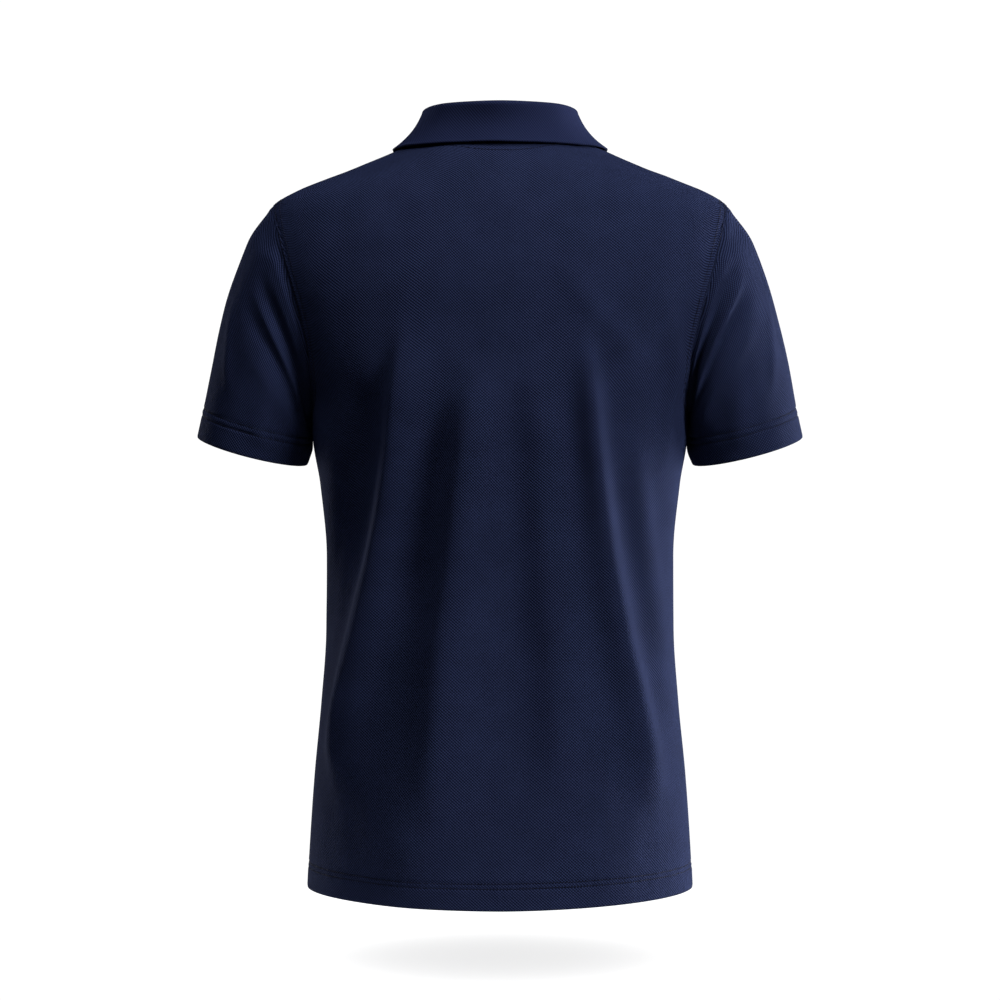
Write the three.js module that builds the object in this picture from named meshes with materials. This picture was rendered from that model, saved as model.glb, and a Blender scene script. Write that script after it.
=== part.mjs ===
// Polo shirt in its worn, hollow form: back, front, two sleeves, folded collar, placket and buttons.
// Millimetres. +Z is up, the back faces +Y and the wearer's left is +X.
// The origin is the middle of the neck, level with the high points of the shoulders.
import * as THREE from 'three';

// Cloth and seams
const WALL = 2;
const HEM_WALL = 3;
const SEAM_GAP = 0.3;
const ARMHOLE_GAP = 0.8;
const STRIP_GAP = 0.6;

// Body lengths, all as heights from the origin
const HEM = -714;
const HEM_TOP = -690;
const UNDERARM = -258;
const SHOULDER = -62;

// Neck: half width at the shoulder line, and how far it reaches back and front
const NECK = { half: 78, back: 62, front: 80 };

// Armhole: how far it bites into each panel, in degrees round the body, and how round its ends are
const ARMHOLE = { back: 28, front: 30, roundness: 0.42 };

// Half width of the body by height. Between the shoulder and the underarm the sleeve covers it.
const WIDTHS = [
  { z: -714, half: 184.5 },
  { z: -674, half: 182.4 },
  { z: -605, half: 177.6 },
  { z: -536, half: 170.9 },
  { z: -467, half: 166.4 },
  { z: -398, half: 166.0 },
  { z: -329, half: 171.4 },
  { z: -258, half: 177.8 },
  { z: -215, half: 193 },
  { z: -180, half: 208 },
  { z: -150, half: 220 },
  { z: -120, half: 228 },
  { z: -95, half: 230 },
  { z: -76, half: 226.5 },
  { z: -62, half: 217 },
  { z: -50, half: 197 },
  { z: -29, half: 148 },
  { z: -10, half: 101 },
  { z: 0, half: 78 },
  { z: 10, half: 60 },
];

// Depth behind and before the side line by height, and squareness of the section: 2 is an ellipse.
const DEPTHS = [
  { z: -714, back: 126, front: 120, square: 2.05 },
  { z: -620, back: 117, front: 117, square: 2.1 },
  { z: -540, back: 108, front: 114, square: 2.15 },
  { z: -460, back: 103, front: 112, square: 2.2 },
  { z: -380, back: 105, front: 114, square: 2.2 },
  { z: -300, back: 110, front: 120, square: 2.25 },
  { z: -220, back: 114, front: 123, square: 2.3 },
  { z: -160, back: 112, front: 115, square: 2.3 },
  { z: -110, back: 105, front: 95, square: 2.25 },
  { z: -85, back: 99, front: 80, square: 2.15 },
  { z: -55, back: 89, front: 71, square: 2.05 },
  { z: -30, back: 76, front: 61, square: 2 },
  { z: -11, back: 62, front: 52, square: 2 },
  { z: 10, back: 44, front: 40, square: 2 },
];

// Main folds as raised crests: side to side place at three heights, then half width and height.
const BACK_FOLDS = [
  { z0: -190, x0: 95, z1: -326, x1: 105, z2: -470, x2: 132, width: 17, raise: 5 },
  { z0: -190, x0: 34, z1: -385, x1: 42, z2: -610, x2: 92, width: 19, raise: 4 },
  { z0: -200, x0: -36, z1: -371, x1: -42, z2: -545, x2: -57, width: 17, raise: 3 },
  { z0: -180, x0: -80, z1: -290, x1: -88, z2: -440, x2: -102, width: 14, raise: 6 },
  { z0: -205, x0: -118, z1: -326, x1: -131, z2: -460, x2: -143, width: 13, raise: 4 },
];
const FRONT_FOLDS = [
  { z0: -215, x0: 118, z1: -330, x1: 104, z2: -480, x2: 84, width: 17, raise: 4.5 },
  { z0: -290, x0: 52, z1: -400, x1: 60, z2: -580, x2: 78, width: 18, raise: 3 },
  { z0: -300, x0: -22, z1: -430, x1: -28, z2: -600, x2: -24, width: 19, raise: 3 },
  { z0: -215, x0: -116, z1: -320, x1: -98, z2: -450, x2: -72, width: 16, raise: 5 },
  { z0: -330, x0: -128, z1: -420, x1: -134, z2: -560, x2: -126, width: 15, raise: 3 },
];

// Degrees from the centre line past which no fold runs, below the waist and beside the armholes
const FOLD_LIMIT = { low: 86, high: 62, fade: 14 };

// Sleeve: middle, radius and lean of the cuff, rings down the sleeve, the ring at the top of its turned
// hem, and how far it keeps its heading from the armhole and into the cuff
const CUFF = { x: 238.5, y: -10, z: -296, radius: 54.4, out: 15, forward: 8 };
const CUFF_RINGS = [0, 0.07, 0.16, 0.28, 0.41, 0.54, 0.66, 0.78, 0.88, 1];
const CUFF_HEM_RING = 8;
const SLEEVE_PULL = { shoulder: 0.86, underarm: 0.45, cuff: 0.8 };

// How much further the cloth stands out over the shoulder than a straight run to the cuff
const SLEEVE_HEAD = 6;

// Sleeve folds: degrees round from the shoulder by way of the back, at two places down the sleeve
const SLEEVE_FOLDS = [
  { turn0: 118, down0: 0.12, turn1: 96, down1: 0.62, width: 15, raise: 5 },
  { turn0: 62, down0: 0.3, turn1: 78, down1: 0.9, width: 14, raise: 3 },
  { turn0: 150, down0: 0.3, turn1: 128, down1: 0.95, width: 14, raise: 4 },
  { turn0: 250, down0: 0.15, turn1: 272, down1: 0.7, width: 16, raise: 4 },
  { turn0: 308, down0: 0.35, turn1: 290, down1: 0.95, width: 15, raise: 3 },
];

// Half of the gap between the collar's two ends at the front
const COLLAR_END = 0.8;

// Collar: neck side of the stand's top, then the leaf's outer edge, by degrees from the centre back
const COLLAR = [
  { turn: 0, topX: 0, topY: 59, topZ: 24, edgeX: 0, edgeY: 78, edgeZ: -12 },
  { turn: 45, topX: 48, topY: 42.5, topZ: 25, edgeX: 73, edgeY: 54, edgeZ: -11 },
  { turn: 90, topX: 67.5, topY: 0, topZ: 26, edgeX: 103, edgeY: 0, edgeZ: -8 },
  { turn: 120, topX: 60, topY: -35, topZ: 11, edgeX: 99, edgeY: -44, edgeZ: -23 },
  { turn: 150, topX: 35, topY: -62, topZ: -35, edgeX: 80, edgeY: -88, edgeZ: -82 },
  { turn: 180, topX: COLLAR_END, topY: -76, topZ: -71, edgeX: 47, edgeY: -108, edgeZ: -146 },
];
const COLLAR_ROLL = 3.8;
const COLLAR_HOLLOW = 4;
const COLLAR_LEAF_GAP = 2.9;
const COLLAR_STEPS = 36;
const ROLL_STEPS = 4;
const LEAF_STEPS = 4;

// Placket: slit in the front, strip sewn over it, and three buttons
const PLACKET = { slitHalf: 13, half: 16.5, bottom: -232, overlap: 7 };
const BUTTON = { radius: 5.6, thick: 2.4, rim: 0.6, first: -99, pitch: 44, count: 3 };

// Grid: heights of the rows at the panel's side edge, and columns from the middle to one side
const LOW_ROWS = [
  HEM, HEM_TOP - 2, HEM_TOP, -650, -611, -572, -533, -494, -455, -416, -377, -338, -303, -276,
];
const ARMHOLE_STEPS = 13;
const SHOULDER_STEPS = 3;
const BACK_COLUMNS = 17;
const FRONT_COLUMNS = 14;

const rad = THREE.MathUtils.degToRad;
const lerp = THREE.MathUtils.lerp;
const clamp = THREE.MathUtils.clamp;
const smooth = THREE.MathUtils.smoothstep;

// A smooth curve through one column of a table, with no overshoot between the rows
function curveThrough(rows, from, to) {
  const xs = rows.map((row) => row[from]);
  const ys = rows.map((row) => row[to]);
  const secants = ys.slice(1).map((y, i) => (y - ys[i]) / (xs[i + 1] - xs[i]));
  const slopes = ys.map((y, i) => {
    const before = secants[Math.max(i - 1, 0)];
    const after = secants[Math.min(i, secants.length - 1)];
    return before * after > 0 ? (2 * before * after) / (before + after) : 0;
  });
  return (x) => {
    const at = clamp(x, xs[0], xs[xs.length - 1]);
    let i = 0;
    while (i < secants.length - 1 && at > xs[i + 1]) {
      i += 1;
    }
    const span = xs[i + 1] - xs[i];
    const t = (at - xs[i]) / span;
    const ease = t * t * (3 - 2 * t);
    const start = slopes[i] * span * t * (1 - t) * (1 - t);
    const end = slopes[i + 1] * span * t * t * (1 - t);
    return lerp(ys[i], ys[i + 1], ease) + start - end;
  };
}

const halfWidth = curveThrough(WIDTHS, 'z', 'half');
const backDepth = curveThrough(DEPTHS, 'z', 'back');
const frontDepth = curveThrough(DEPTHS, 'z', 'front');
const squareness = curveThrough(DEPTHS, 'z', 'square');
const depthOf = (side, z) => (side > 0 ? backDepth(z) : frontDepth(z));

// Point of the body's form at an angle from the centre line, on the back (side 1) or front (side -1)
function bodyPoint(side, angle, z) {
  const power = 2 / squareness(z);
  const x = Math.sign(angle) * halfWidth(z) * Math.abs(Math.sin(angle)) ** power;
  const y = side * depthOf(side, z) * Math.max(Math.cos(angle), 0) ** power;
  return new THREE.Vector3(x, y, z);
}

// The angle at which the form is a given distance from the centre line
function angleAt(x, z) {
  return Math.asin(clamp(x / halfWidth(z), 0, 1) ** (squareness(z) / 2));
}

// Above zero outside the body's form, below zero inside
function outside(point) {
  const n = squareness(point.z);
  const across = Math.abs(point.x) / halfWidth(point.z);
  const deep = Math.abs(point.y) / depthOf(point.y, point.z);
  return across ** n + deep ** n - 1;
}

// Height of the form over a point of the plan
function heightOver(x, y) {
  let low = UNDERARM;
  let high = 5;
  for (let i = 0; i < 40; i += 1) {
    const middle = (low + high) / 2;
    if (outside(new THREE.Vector3(x, y, middle)) < 0) {
      low = middle;
    } else {
      high = middle;
    }
  }
  return low;
}

// Steepest way out of the form at a point, as long as the change in outside for each millimetre
function wayOut(point) {
  const step = 0.5;
  const change = (axis) => {
    const ahead = point.clone();
    const behind = point.clone();
    ahead[axis] += step;
    behind[axis] -= step;
    return (outside(ahead) - outside(behind)) / (2 * step);
  };
  return new THREE.Vector3(change('x'), change('y'), change('z'));
}

// Moves a point straight out of the form until it is at least a gap clear of it
function pushClear(point, gap) {
  for (let i = 0; i < 6; i += 1) {
    const slope = wayOut(point);
    const distance = outside(point) / slope.length();
    if (distance < gap) {
      point.addScaledVector(slope.normalize(), gap - distance);
    }
  }
  return point;
}

// Point of the neck curve at an angle from the centre line
function neckPoint(side, turn) {
  const x = NECK.half * Math.sin(turn);
  const y = side * (side > 0 ? NECK.back : NECK.front) * Math.cos(turn);
  return new THREE.Vector3(x, y, heightOver(x, y));
}

// How much the folds raise a panel. They stop short of the armholes, and run nearer the side seams below.
function foldRaise(folds, x, z, angle) {
  let raise = 0;
  for (const fold of folds) {
    const path = curveThrough([
      { z: fold.z2, x: fold.x2 },
      { z: fold.z1, x: fold.x1 },
      { z: fold.z0, x: fold.x0 },
    ], 'z', 'x');
    const run = smooth(z, fold.z2 - 60, fold.z2 + 50) * (1 - smooth(z, fold.z0 - 60, fold.z0 + 30));
    raise += fold.raise * run * Math.exp(-(((x - path(z)) / fold.width) ** 2));
  }
  const limit = rad(lerp(FOLD_LIMIT.low, FOLD_LIMIT.high, smooth(z, -430, -300)));
  return raise * (1 - smooth(angle, limit - rad(FOLD_LIMIT.fade), limit));
}

// Outward normals of a grid of points
function gridNormals(grid, wrap, facing) {
  const rows = grid.length;
  const columns = grid[0].length;
  return grid.map((row, i) => row.map((point, j) => {
    const up = grid[Math.min(i + 1, rows - 1)][j].clone().sub(grid[Math.max(i - 1, 0)][j]);
    const next = wrap ? (j + 1) % columns : Math.min(j + 1, columns - 1);
    const last = wrap ? (j + columns - 1) % columns : Math.max(j - 1, 0);
    const across = row[next].clone().sub(row[last]);
    return across.cross(up).normalize().multiplyScalar(facing);
  }));
}

// A closed wall between an outer and an inner grid. keep leaves cells out, wrap joins the last column
// to the first.
function wallGeometry(outer, inner, { wrap = false, keep = () => true } = {}) {
  const rows = outer.length;
  const columns = outer[0].length;
  const cellColumns = wrap ? columns : columns - 1;
  const has = (i, j) => {
    const column = wrap ? (j + cellColumns) % cellColumns : j;
    return i >= 0 && i < rows - 1 && column >= 0 && column < cellColumns && keep(i, column);
  };
  const index = (i, j, layer) => layer * rows * columns + i * columns + (j % columns);
  const faces = [];
  const quad = (a, b, c, d) => faces.push(a, b, c, a, c, d);
  for (let i = 0; i < rows - 1; i += 1) {
    for (let j = 0; j < cellColumns; j += 1) {
      if (!has(i, j)) {
        continue;
      }
      const corners = [[i, j], [i, j + 1], [i + 1, j + 1], [i + 1, j]];
      const neighbours = [[i - 1, j], [i, j + 1], [i + 1, j], [i, j - 1]];
      const [a, b, c, d] = corners.map(([row, column]) => index(row, column, 0));
      const [e, f, g, h] = corners.map(([row, column]) => index(row, column, 1));
      quad(a, b, c, d);
      quad(h, g, f, e);
      neighbours.forEach(([row, column], side) => {
        if (has(row, column)) {
          return;
        }
        const start = corners[side];
        const end = corners[(side + 1) % 4];
        quad(index(...end, 0), index(...start, 0), index(...start, 1), index(...end, 1));
      });
    }
  }
  const points = [...outer.flat(), ...inner.flat()];
  return orientOutward(compact(points, faces));
}

// Drops the points that no face uses
function compact(points, faces) {
  const order = new Map();
  const kept = [];
  const indices = faces.map((old) => {
    if (!order.has(old)) {
      order.set(old, kept.length);
      kept.push(points[old]);
    }
    return order.get(old);
  });
  const geometry = new THREE.BufferGeometry().setFromPoints(kept);
  geometry.setIndex(indices);
  return geometry;
}

// Turns the faces round where they enclose a negative volume
function orientOutward(geometry) {
  const position = geometry.getAttribute('position');
  const indices = Array.from(geometry.getIndex().array);
  const corner = (i) => new THREE.Vector3().fromBufferAttribute(position, indices[i]);
  let volume = 0;
  for (let i = 0; i < indices.length; i += 3) {
    volume += corner(i).dot(corner(i + 1).cross(corner(i + 2)));
  }
  if (volume < 0) {
    for (let i = 0; i < indices.length; i += 3) {
      [indices[i], indices[i + 1]] = [indices[i + 1], indices[i]];
    }
    geometry.setIndex(indices);
  }
  geometry.computeVertexNormals();
  return geometry;
}

// The angle that the armhole takes from one side of a panel at a height
function armholeBite(side, z) {
  if (z >= SHOULDER || z <= UNDERARM) {
    return 0;
  }
  const t = (SHOULDER - z) / (SHOULDER - UNDERARM);
  const bite = side > 0 ? ARMHOLE.back : ARMHOLE.front;
  return rad(bite) * Math.sin(Math.PI * t) ** ARMHOLE.roundness;
}

// Heights of the rows at the side edge, hem to neck. Steps are shorter at the armhole's two ends.
function edgeRows() {
  const rows = [...LOW_ROWS];
  for (let i = 0; i <= ARMHOLE_STEPS; i += 1) {
    const share = (1 - Math.cos((Math.PI * i) / ARMHOLE_STEPS)) / 2;
    rows.push(lerp(UNDERARM, SHOULDER, lerp(i / ARMHOLE_STEPS, share, 0.7)));
  }
  for (let i = 1; i <= SHOULDER_STEPS; i += 1) {
    rows.push(lerp(SHOULDER, 0, i / SHOULDER_STEPS));
  }
  return rows;
}

const ROWS = edgeRows();
const UNDERARM_ROW = LOW_ROWS.length;
const SHOULDER_ROW = UNDERARM_ROW + ARMHOLE_STEPS;

// One panel as outer points, their normals and inner points. The column beside the centre keeps to the
// slit's edge at every height.
function makePanel(side, columns, folds) {
  const shares = [];
  for (let j = -columns; j <= columns; j += 1) {
    shares.push(j / columns);
  }
  const core = 1 / columns;
  const spread = (share) => {
    const way = (share - core) / (1 - core);
    return 0.82 * way + 0.18 * way ** 3;
  };
  const outer = ROWS.map((edge) => shares.map((signed) => {
    const share = Math.abs(signed);
    const direction = Math.sign(signed);
    const neckCore = Math.asin(PLACKET.slitHalf / NECK.half);
    const neckTurn = share <= core ? (share / core) * neckCore : lerp(neckCore, Math.PI / 2, spread(share));
    const neck = neckPoint(side, neckTurn);
    const rise = Math.max((edge - UNDERARM) / -UNDERARM, 0);
    const z = edge <= UNDERARM ? edge : lerp(UNDERARM, neck.z, rise);
    let angle;
    if (share <= core) {
      angle = angleAt((PLACKET.slitHalf * share) / core, z);
    } else {
      const start = angleAt(PLACKET.slitHalf, z);
      const end = Math.PI / 2 - armholeBite(side, edge);
      const neckStart = angleAt(PLACKET.slitHalf, neck.z);
      const neckWay = (angleAt(neck.x, neck.z) - neckStart) / (Math.PI / 2 - neckStart);
      const way = lerp(spread(share), neckWay, smooth(edge, SHOULDER - 30, 0));
      angle = lerp(start, end, way);
    }
    const point = bodyPoint(side, direction * angle, z);
    const seam = side * SEAM_GAP * 0.5;
    point.y = side * Math.max(side * point.y, Math.abs(seam));
    return point;
  }));
  const plain = gridNormals(outer, false, -side);
  outer.forEach((row, i) => row.forEach((point, j) => {
    const angle = angleAt(Math.abs(point.x), point.z);
    point.addScaledVector(plain[i][j], foldRaise(folds, point.x, point.z, angle));
  }));
  const normals = gridNormals(outer, false, -side);
  const inner = outer.map((row, i) => row.map((point, j) => {
    const wall = ROWS[i] < HEM_TOP ? HEM_WALL : WALL;
    const moved = point.clone().addScaledVector(normals[i][j], -wall);
    moved.y = side * Math.max(side * moved.y, SEAM_GAP * 0.5);
    return moved;
  }));
  return { outer, inner, normals };
}

const back = makePanel(1, BACK_COLUMNS, BACK_FOLDS);
const front = makePanel(-1, FRONT_COLUMNS, FRONT_FOLDS);

// The slit runs from the neck down to the first row below its stated end
const SLIT_ROW = front.outer.findIndex((row) => row[FRONT_COLUMNS].z > PLACKET.bottom);

function backPanel() {
  return wallGeometry(back.outer, back.inner);
}

function frontPanel() {
  const inSlit = (i, j) => i >= SLIT_ROW && (j === FRONT_COLUMNS - 1 || j === FRONT_COLUMNS);
  return wallGeometry(front.outer, front.inner, { keep: (i, j) => !inSlit(i, j) });
}

// Point on the front panel's own facets, a distance from the centre line and out of the cloth
function onFront(i, x, out) {
  const row = front.outer[i];
  let j = 0;
  while (j < row.length - 2 && row[j + 1].x < x) {
    j += 1;
  }
  const share = (x - row[j].x) / (row[j + 1].x - row[j].x);
  const normal = front.normals[i][j].clone().lerp(front.normals[i][j + 1], share).normalize();
  return row[j].clone().lerp(row[j + 1], share).addScaledVector(normal, out);
}

// Strip made from the front panel's points, between two distances out of its outer face. Its lower end
// is past the slit's end by the overlap, or short of it where the overlap is negative.
function strip(xs, outerOut, innerOut, overlap) {
  const layer = (out) => {
    const rows = [];
    const end = SLIT_ROW - Math.sign(overlap);
    const step = onFront(SLIT_ROW, 0, 0).distanceTo(onFront(end, 0, 0));
    const share = Math.abs(overlap) / step;
    rows.push(xs.map((x) => onFront(SLIT_ROW, x, out).lerp(onFront(end, x, out), share)));
    for (let i = SLIT_ROW + (overlap > 0 ? 0 : 1); i < ROWS.length; i += 1) {
      rows.push(xs.map((x) => onFront(i, x, out)));
    }
    return rows;
  };
  return wallGeometry(layer(outerOut), layer(innerOut));
}

function placketTop() {
  const xs = [-PLACKET.half, -PLACKET.slitHalf, 0, PLACKET.slitHalf, PLACKET.half];
  return strip(xs, STRIP_GAP + WALL, STRIP_GAP, PLACKET.overlap);
}

function placketUnder() {
  const half = PLACKET.slitHalf - SEAM_GAP;
  return strip([-half, 0, half], 0, -WALL, -SEAM_GAP);
}

// Round button on the strip, lying on its outer face
function buttonGeometry() {
  const { radius, thick, rim } = BUTTON;
  const profile = [
    [0, 0], [radius - rim, 0], [radius, rim], [radius, thick - rim],
    [radius - rim, thick], [radius - 3 * rim, thick], [radius - 4 * rim, thick - rim], [0, thick - rim],
  ];
  const geometry = new THREE.LatheGeometry(profile.map(([r, y]) => new THREE.Vector2(r, y)), 20);
  return geometry.rotateX(Math.PI / 2);
}

function placeButton(mesh, z) {
  const i = front.outer.findIndex((row) => row[FRONT_COLUMNS].z > z);
  const below = onFront(i - 1, 0, SEAM_GAP + STRIP_GAP + WALL);
  const above = onFront(i, 0, SEAM_GAP + STRIP_GAP + WALL);
  const along = above.clone().sub(below).normalize();
  const outward = new THREE.Vector3(1, 0, 0).cross(along).normalize();
  const share = (z - below.z) / (above.z - below.z);
  mesh.position.copy(below.lerp(above, share));
  mesh.quaternion.setFromUnitVectors(new THREE.Vector3(0, 0, 1), outward);
}

// The armhole's edge as one loop on the wearer's left: shoulder, back, underarm, front
function armholeLoop() {
  const loop = [];
  const take = (panel, i) => {
    const last = panel.outer[i].length - 1;
    const point = panel.outer[i][last].clone();
    return { point, normal: wayOut(point).normalize() };
  };
  const join = (i) => {
    const one = take(back, i);
    const other = take(front, i);
    one.point.lerp(other.point, 0.5);
    one.normal.add(other.normal).normalize();
    return one;
  };
  loop.push(join(SHOULDER_ROW));
  for (let i = SHOULDER_ROW - 1; i > UNDERARM_ROW; i -= 1) {
    loop.push(take(back, i));
  }
  loop.push(join(UNDERARM_ROW));
  for (let i = UNDERARM_ROW + 1; i < SHOULDER_ROW; i += 1) {
    loop.push(take(front, i));
  }
  return loop;
}

// Degrees round the sleeve of each point of the loop: 0 at the shoulder, 180 at the underarm
function loopTurns(loop) {
  const half = loop.length / 2;
  const lengths = loop.map((here, j) => here.point.distanceTo(loop[(j + 1) % loop.length].point));
  const sum = (list) => list.reduce((total, value) => total + value, 0);
  const backLength = sum(lengths.slice(0, half));
  const frontLength = sum(lengths.slice(half));
  return loop.map((here, j) => {
    if (j <= half) {
      return (180 * sum(lengths.slice(0, j))) / backLength;
    }
    return 180 + (180 * sum(lengths.slice(half, j))) / frontLength;
  });
}

// The cuff's middle, its two axes across and the way down the arm
function cuffFrame() {
  const outward = new THREE.Vector3(Math.cos(rad(CUFF.out)), 0, Math.sin(rad(CUFF.out)));
  const backward = new THREE.Vector3(0, Math.cos(rad(CUFF.forward)), -Math.sin(rad(CUFF.forward)));
  const down = backward.clone().cross(outward).normalize();
  if (down.z > 0) {
    down.negate();
  }
  backward.copy(down).cross(outward).normalize();
  if (backward.y < 0) {
    backward.negate();
  }
  return { middle: new THREE.Vector3(CUFF.x, CUFF.y, CUFF.z), outward, backward, down };
}

function sleeveFoldRaise(turn, down) {
  let raise = 0;
  for (const fold of SLEEVE_FOLDS) {
    const way = (down - fold.down0) / (fold.down1 - fold.down0);
    const middle = lerp(fold.turn0, fold.turn1, way);
    const run = smooth(way, -0.3, 0.3) * (1 - smooth(way, 0.8, 1.3));
    raise += fold.raise * run * Math.exp(-(((turn - middle) / fold.width) ** 2));
  }
  return raise * smooth(down, 0, 0.15) * (1 - smooth(down, 0.8, 0.95));
}

function sleeveHeadRaise(turn, down) {
  const top = (1 + Math.cos(rad(turn))) / 2;
  return SLEEVE_HEAD * top * smooth(down, 0, 0.2) * (1 - smooth(down, 0.35, 1));
}

// One sleeve as rings of points from the armhole down to the cuff, on the wearer's left
function sleeveGrid() {
  const loop = armholeLoop();
  const turns = loopTurns(loop);
  const cuff = cuffFrame();
  const count = loop.length;
  const columns = loop.map((here, j) => {
    const travel = loop[(j + 1) % count].point.clone().sub(loop[(j + count - 1) % count].point);
    const leave = travel.cross(here.normal).normalize();
    const turn = rad(turns[j]);
    const end = cuff.middle.clone()
      .addScaledVector(cuff.outward, CUFF.radius * Math.cos(turn))
      .addScaledVector(cuff.backward, CUFF.radius * Math.sin(turn));
    const start = here.point.clone().addScaledVector(leave, ARMHOLE_GAP);
    const top = (1 + Math.cos(turn)) / 2;
    const heading = cuff.down.clone()
      .addScaledVector(leave, 1.5 * top)
      .add(new THREE.Vector3(0.35 * (1 - top), 0.45 * Math.sin(turn), 0))
      .normalize();
    const reach = start.distanceTo(end);
    const pull = lerp(SLEEVE_PULL.underarm, SLEEVE_PULL.shoulder, top) * reach;
    return { start, end, heading: heading.multiplyScalar(pull), reach };
  });
  const outer = CUFF_RINGS.map((t) => columns.map(({ start, end, heading, reach }) => {
    const finish = cuff.down.clone().multiplyScalar(SLEEVE_PULL.cuff * reach);
    return start.clone().multiplyScalar(1 - t * t * (3 - 2 * t))
      .addScaledVector(end, t * t * (3 - 2 * t))
      .addScaledVector(heading, t * (1 - t) * (1 - t))
      .addScaledVector(finish, -t * t * (1 - t));
  }));
  const plain = gridNormals(outer, true, -1);
  outer.forEach((ring, i) => ring.forEach((point, j) => {
    const raise = sleeveFoldRaise(turns[j], CUFF_RINGS[i]) + sleeveHeadRaise(turns[j], CUFF_RINGS[i]);
    point.addScaledVector(plain[i][j], raise);
  }));
  const normals = gridNormals(outer, true, -1);
  loop.forEach((here, j) => normals[0][j].add(here.normal).normalize());
  const inner = outer.map((ring, i) => ring.map((point, j) => {
    const wall = i >= CUFF_HEM_RING ? HEM_WALL : WALL;
    return point.clone().addScaledVector(normals[i][j], -wall);
  }));
  return { outer, inner };
}

function mirrored(grid) {
  return grid.map((row) => row.map((point) => new THREE.Vector3(-point.x, point.y, point.z)));
}

// The collar's cloth from the neck seam up the stand, over the roll and down the leaf
function collarSection(turn, at) {
  const neckTurn = turn > 90 ? rad(180 - turn) : rad(turn);
  const neck = neckPoint(turn > 90 ? -1 : 1, neckTurn);
  const top = new THREE.Vector3(at.topX(turn), at.topY(turn), at.topZ(turn));
  const edge = new THREE.Vector3(at.edgeX(turn), at.edgeY(turn), at.edgeZ(turn));
  const inward = new THREE.Vector3(-neck.x, -neck.y, 0).normalize();
  const foot = neck.clone().addScaledVector(inward, WALL).add(new THREE.Vector3(0, 0, 2 * SEAM_GAP));
  if (turn > 90) {
    foot.x = Math.max(foot.x, COLLAR_END);
  }
  const out = new THREE.Vector3(edge.x - top.x, edge.y - top.y, 0).normalize();
  const points = [foot, foot.clone().lerp(top, 0.5)];
  for (let k = 0; k <= ROLL_STEPS; k += 1) {
    const angle = (Math.PI * k) / ROLL_STEPS;
    points.push(top.clone()
      .addScaledVector(out, COLLAR_ROLL * (1 - Math.cos(angle)))
      .add(new THREE.Vector3(0, 0, COLLAR_ROLL * Math.sin(angle))));
  }
  const leafTop = points[points.length - 1].clone();
  for (let k = 1; k <= LEAF_STEPS; k += 1) {
    const point = leafTop.clone().lerp(edge, k / LEAF_STEPS);
    point.addScaledVector(out, -COLLAR_HOLLOW * Math.sin((Math.PI * k) / LEAF_STEPS));
    const overPlacket = (1 - smooth(Math.abs(point.x), 19, 27)) * (point.y < 0 ? 1 : 0);
    points.push(pushClear(point, COLLAR_LEAF_GAP + overPlacket * (WALL + SEAM_GAP + STRIP_GAP)));
  }
  return points;
}

function collarGeometry() {
  const columns = ['topX', 'topY', 'topZ', 'edgeX', 'edgeY', 'edgeZ'];
  const beside = COLLAR[1];
  const across = { ...beside, turn: -beside.turn, topX: -beside.topX, edgeX: -beside.edgeX };
  const rows = [across, ...COLLAR];
  const at = Object.fromEntries(columns.map((name) => [name, curveThrough(rows, 'turn', name)]));
  const left = [];
  for (let i = 0; i <= COLLAR_STEPS / 2; i += 1) {
    left.push(collarSection((180 * i) / (COLLAR_STEPS / 2), at));
  }
  const outer = [...mirrored(left.slice(1)).reverse(), ...left];
  const normals = gridNormals(outer, false, -1);
  const inner = outer.map((row, i) => row.map((point, j) => (
    point.clone().addScaledVector(normals[i][j], -WALL)
  )));
  return wallGeometry(outer, inner);
}

const NAVY = 0x1b2140;
const pique = () => new THREE.MeshStandardMaterial({ color: NAVY, roughness: 0.9, metalness: 0 });
const rib = () => new THREE.MeshStandardMaterial({ color: 0x1a2040, roughness: 0.92, metalness: 0 });
const shell = () => new THREE.MeshStandardMaterial({ color: 0x161b33, roughness: 0.35, metalness: 0 });

const group = new THREE.Group();

function addPiece(name, geometry, material) {
  const mesh = new THREE.Mesh(geometry, material);
  mesh.name = name;
  group.add(mesh);
  return mesh;
}

addPiece('back_panel', backPanel(), pique());
addPiece('front_panel', frontPanel(), pique());

const left = sleeveGrid();
const right = { outer: mirrored(left.outer), inner: mirrored(left.inner) };
addPiece('sleeve_left', wallGeometry(left.outer, left.inner, { wrap: true }), pique());
addPiece('sleeve_right', wallGeometry(right.outer, right.inner, { wrap: true }), pique());

addPiece('collar', collarGeometry(), rib());
addPiece('placket_top', placketTop(), pique());
addPiece('placket_under', placketUnder(), pique());

for (let i = 0; i < BUTTON.count; i += 1) {
  const button = addPiece(`button_${i + 1}`, buttonGeometry(), shell());
  placeButton(button, BUTTON.first - i * BUTTON.pitch);
}

export default group;
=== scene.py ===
"""Looks of a navy cotton pique polo shirt in its worn, hollow form, seen from the back."""
import math

import bmesh
import bpy
from mathutils import Matrix, Vector, noise
from mathutils.bvhtree import BVHTree


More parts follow.
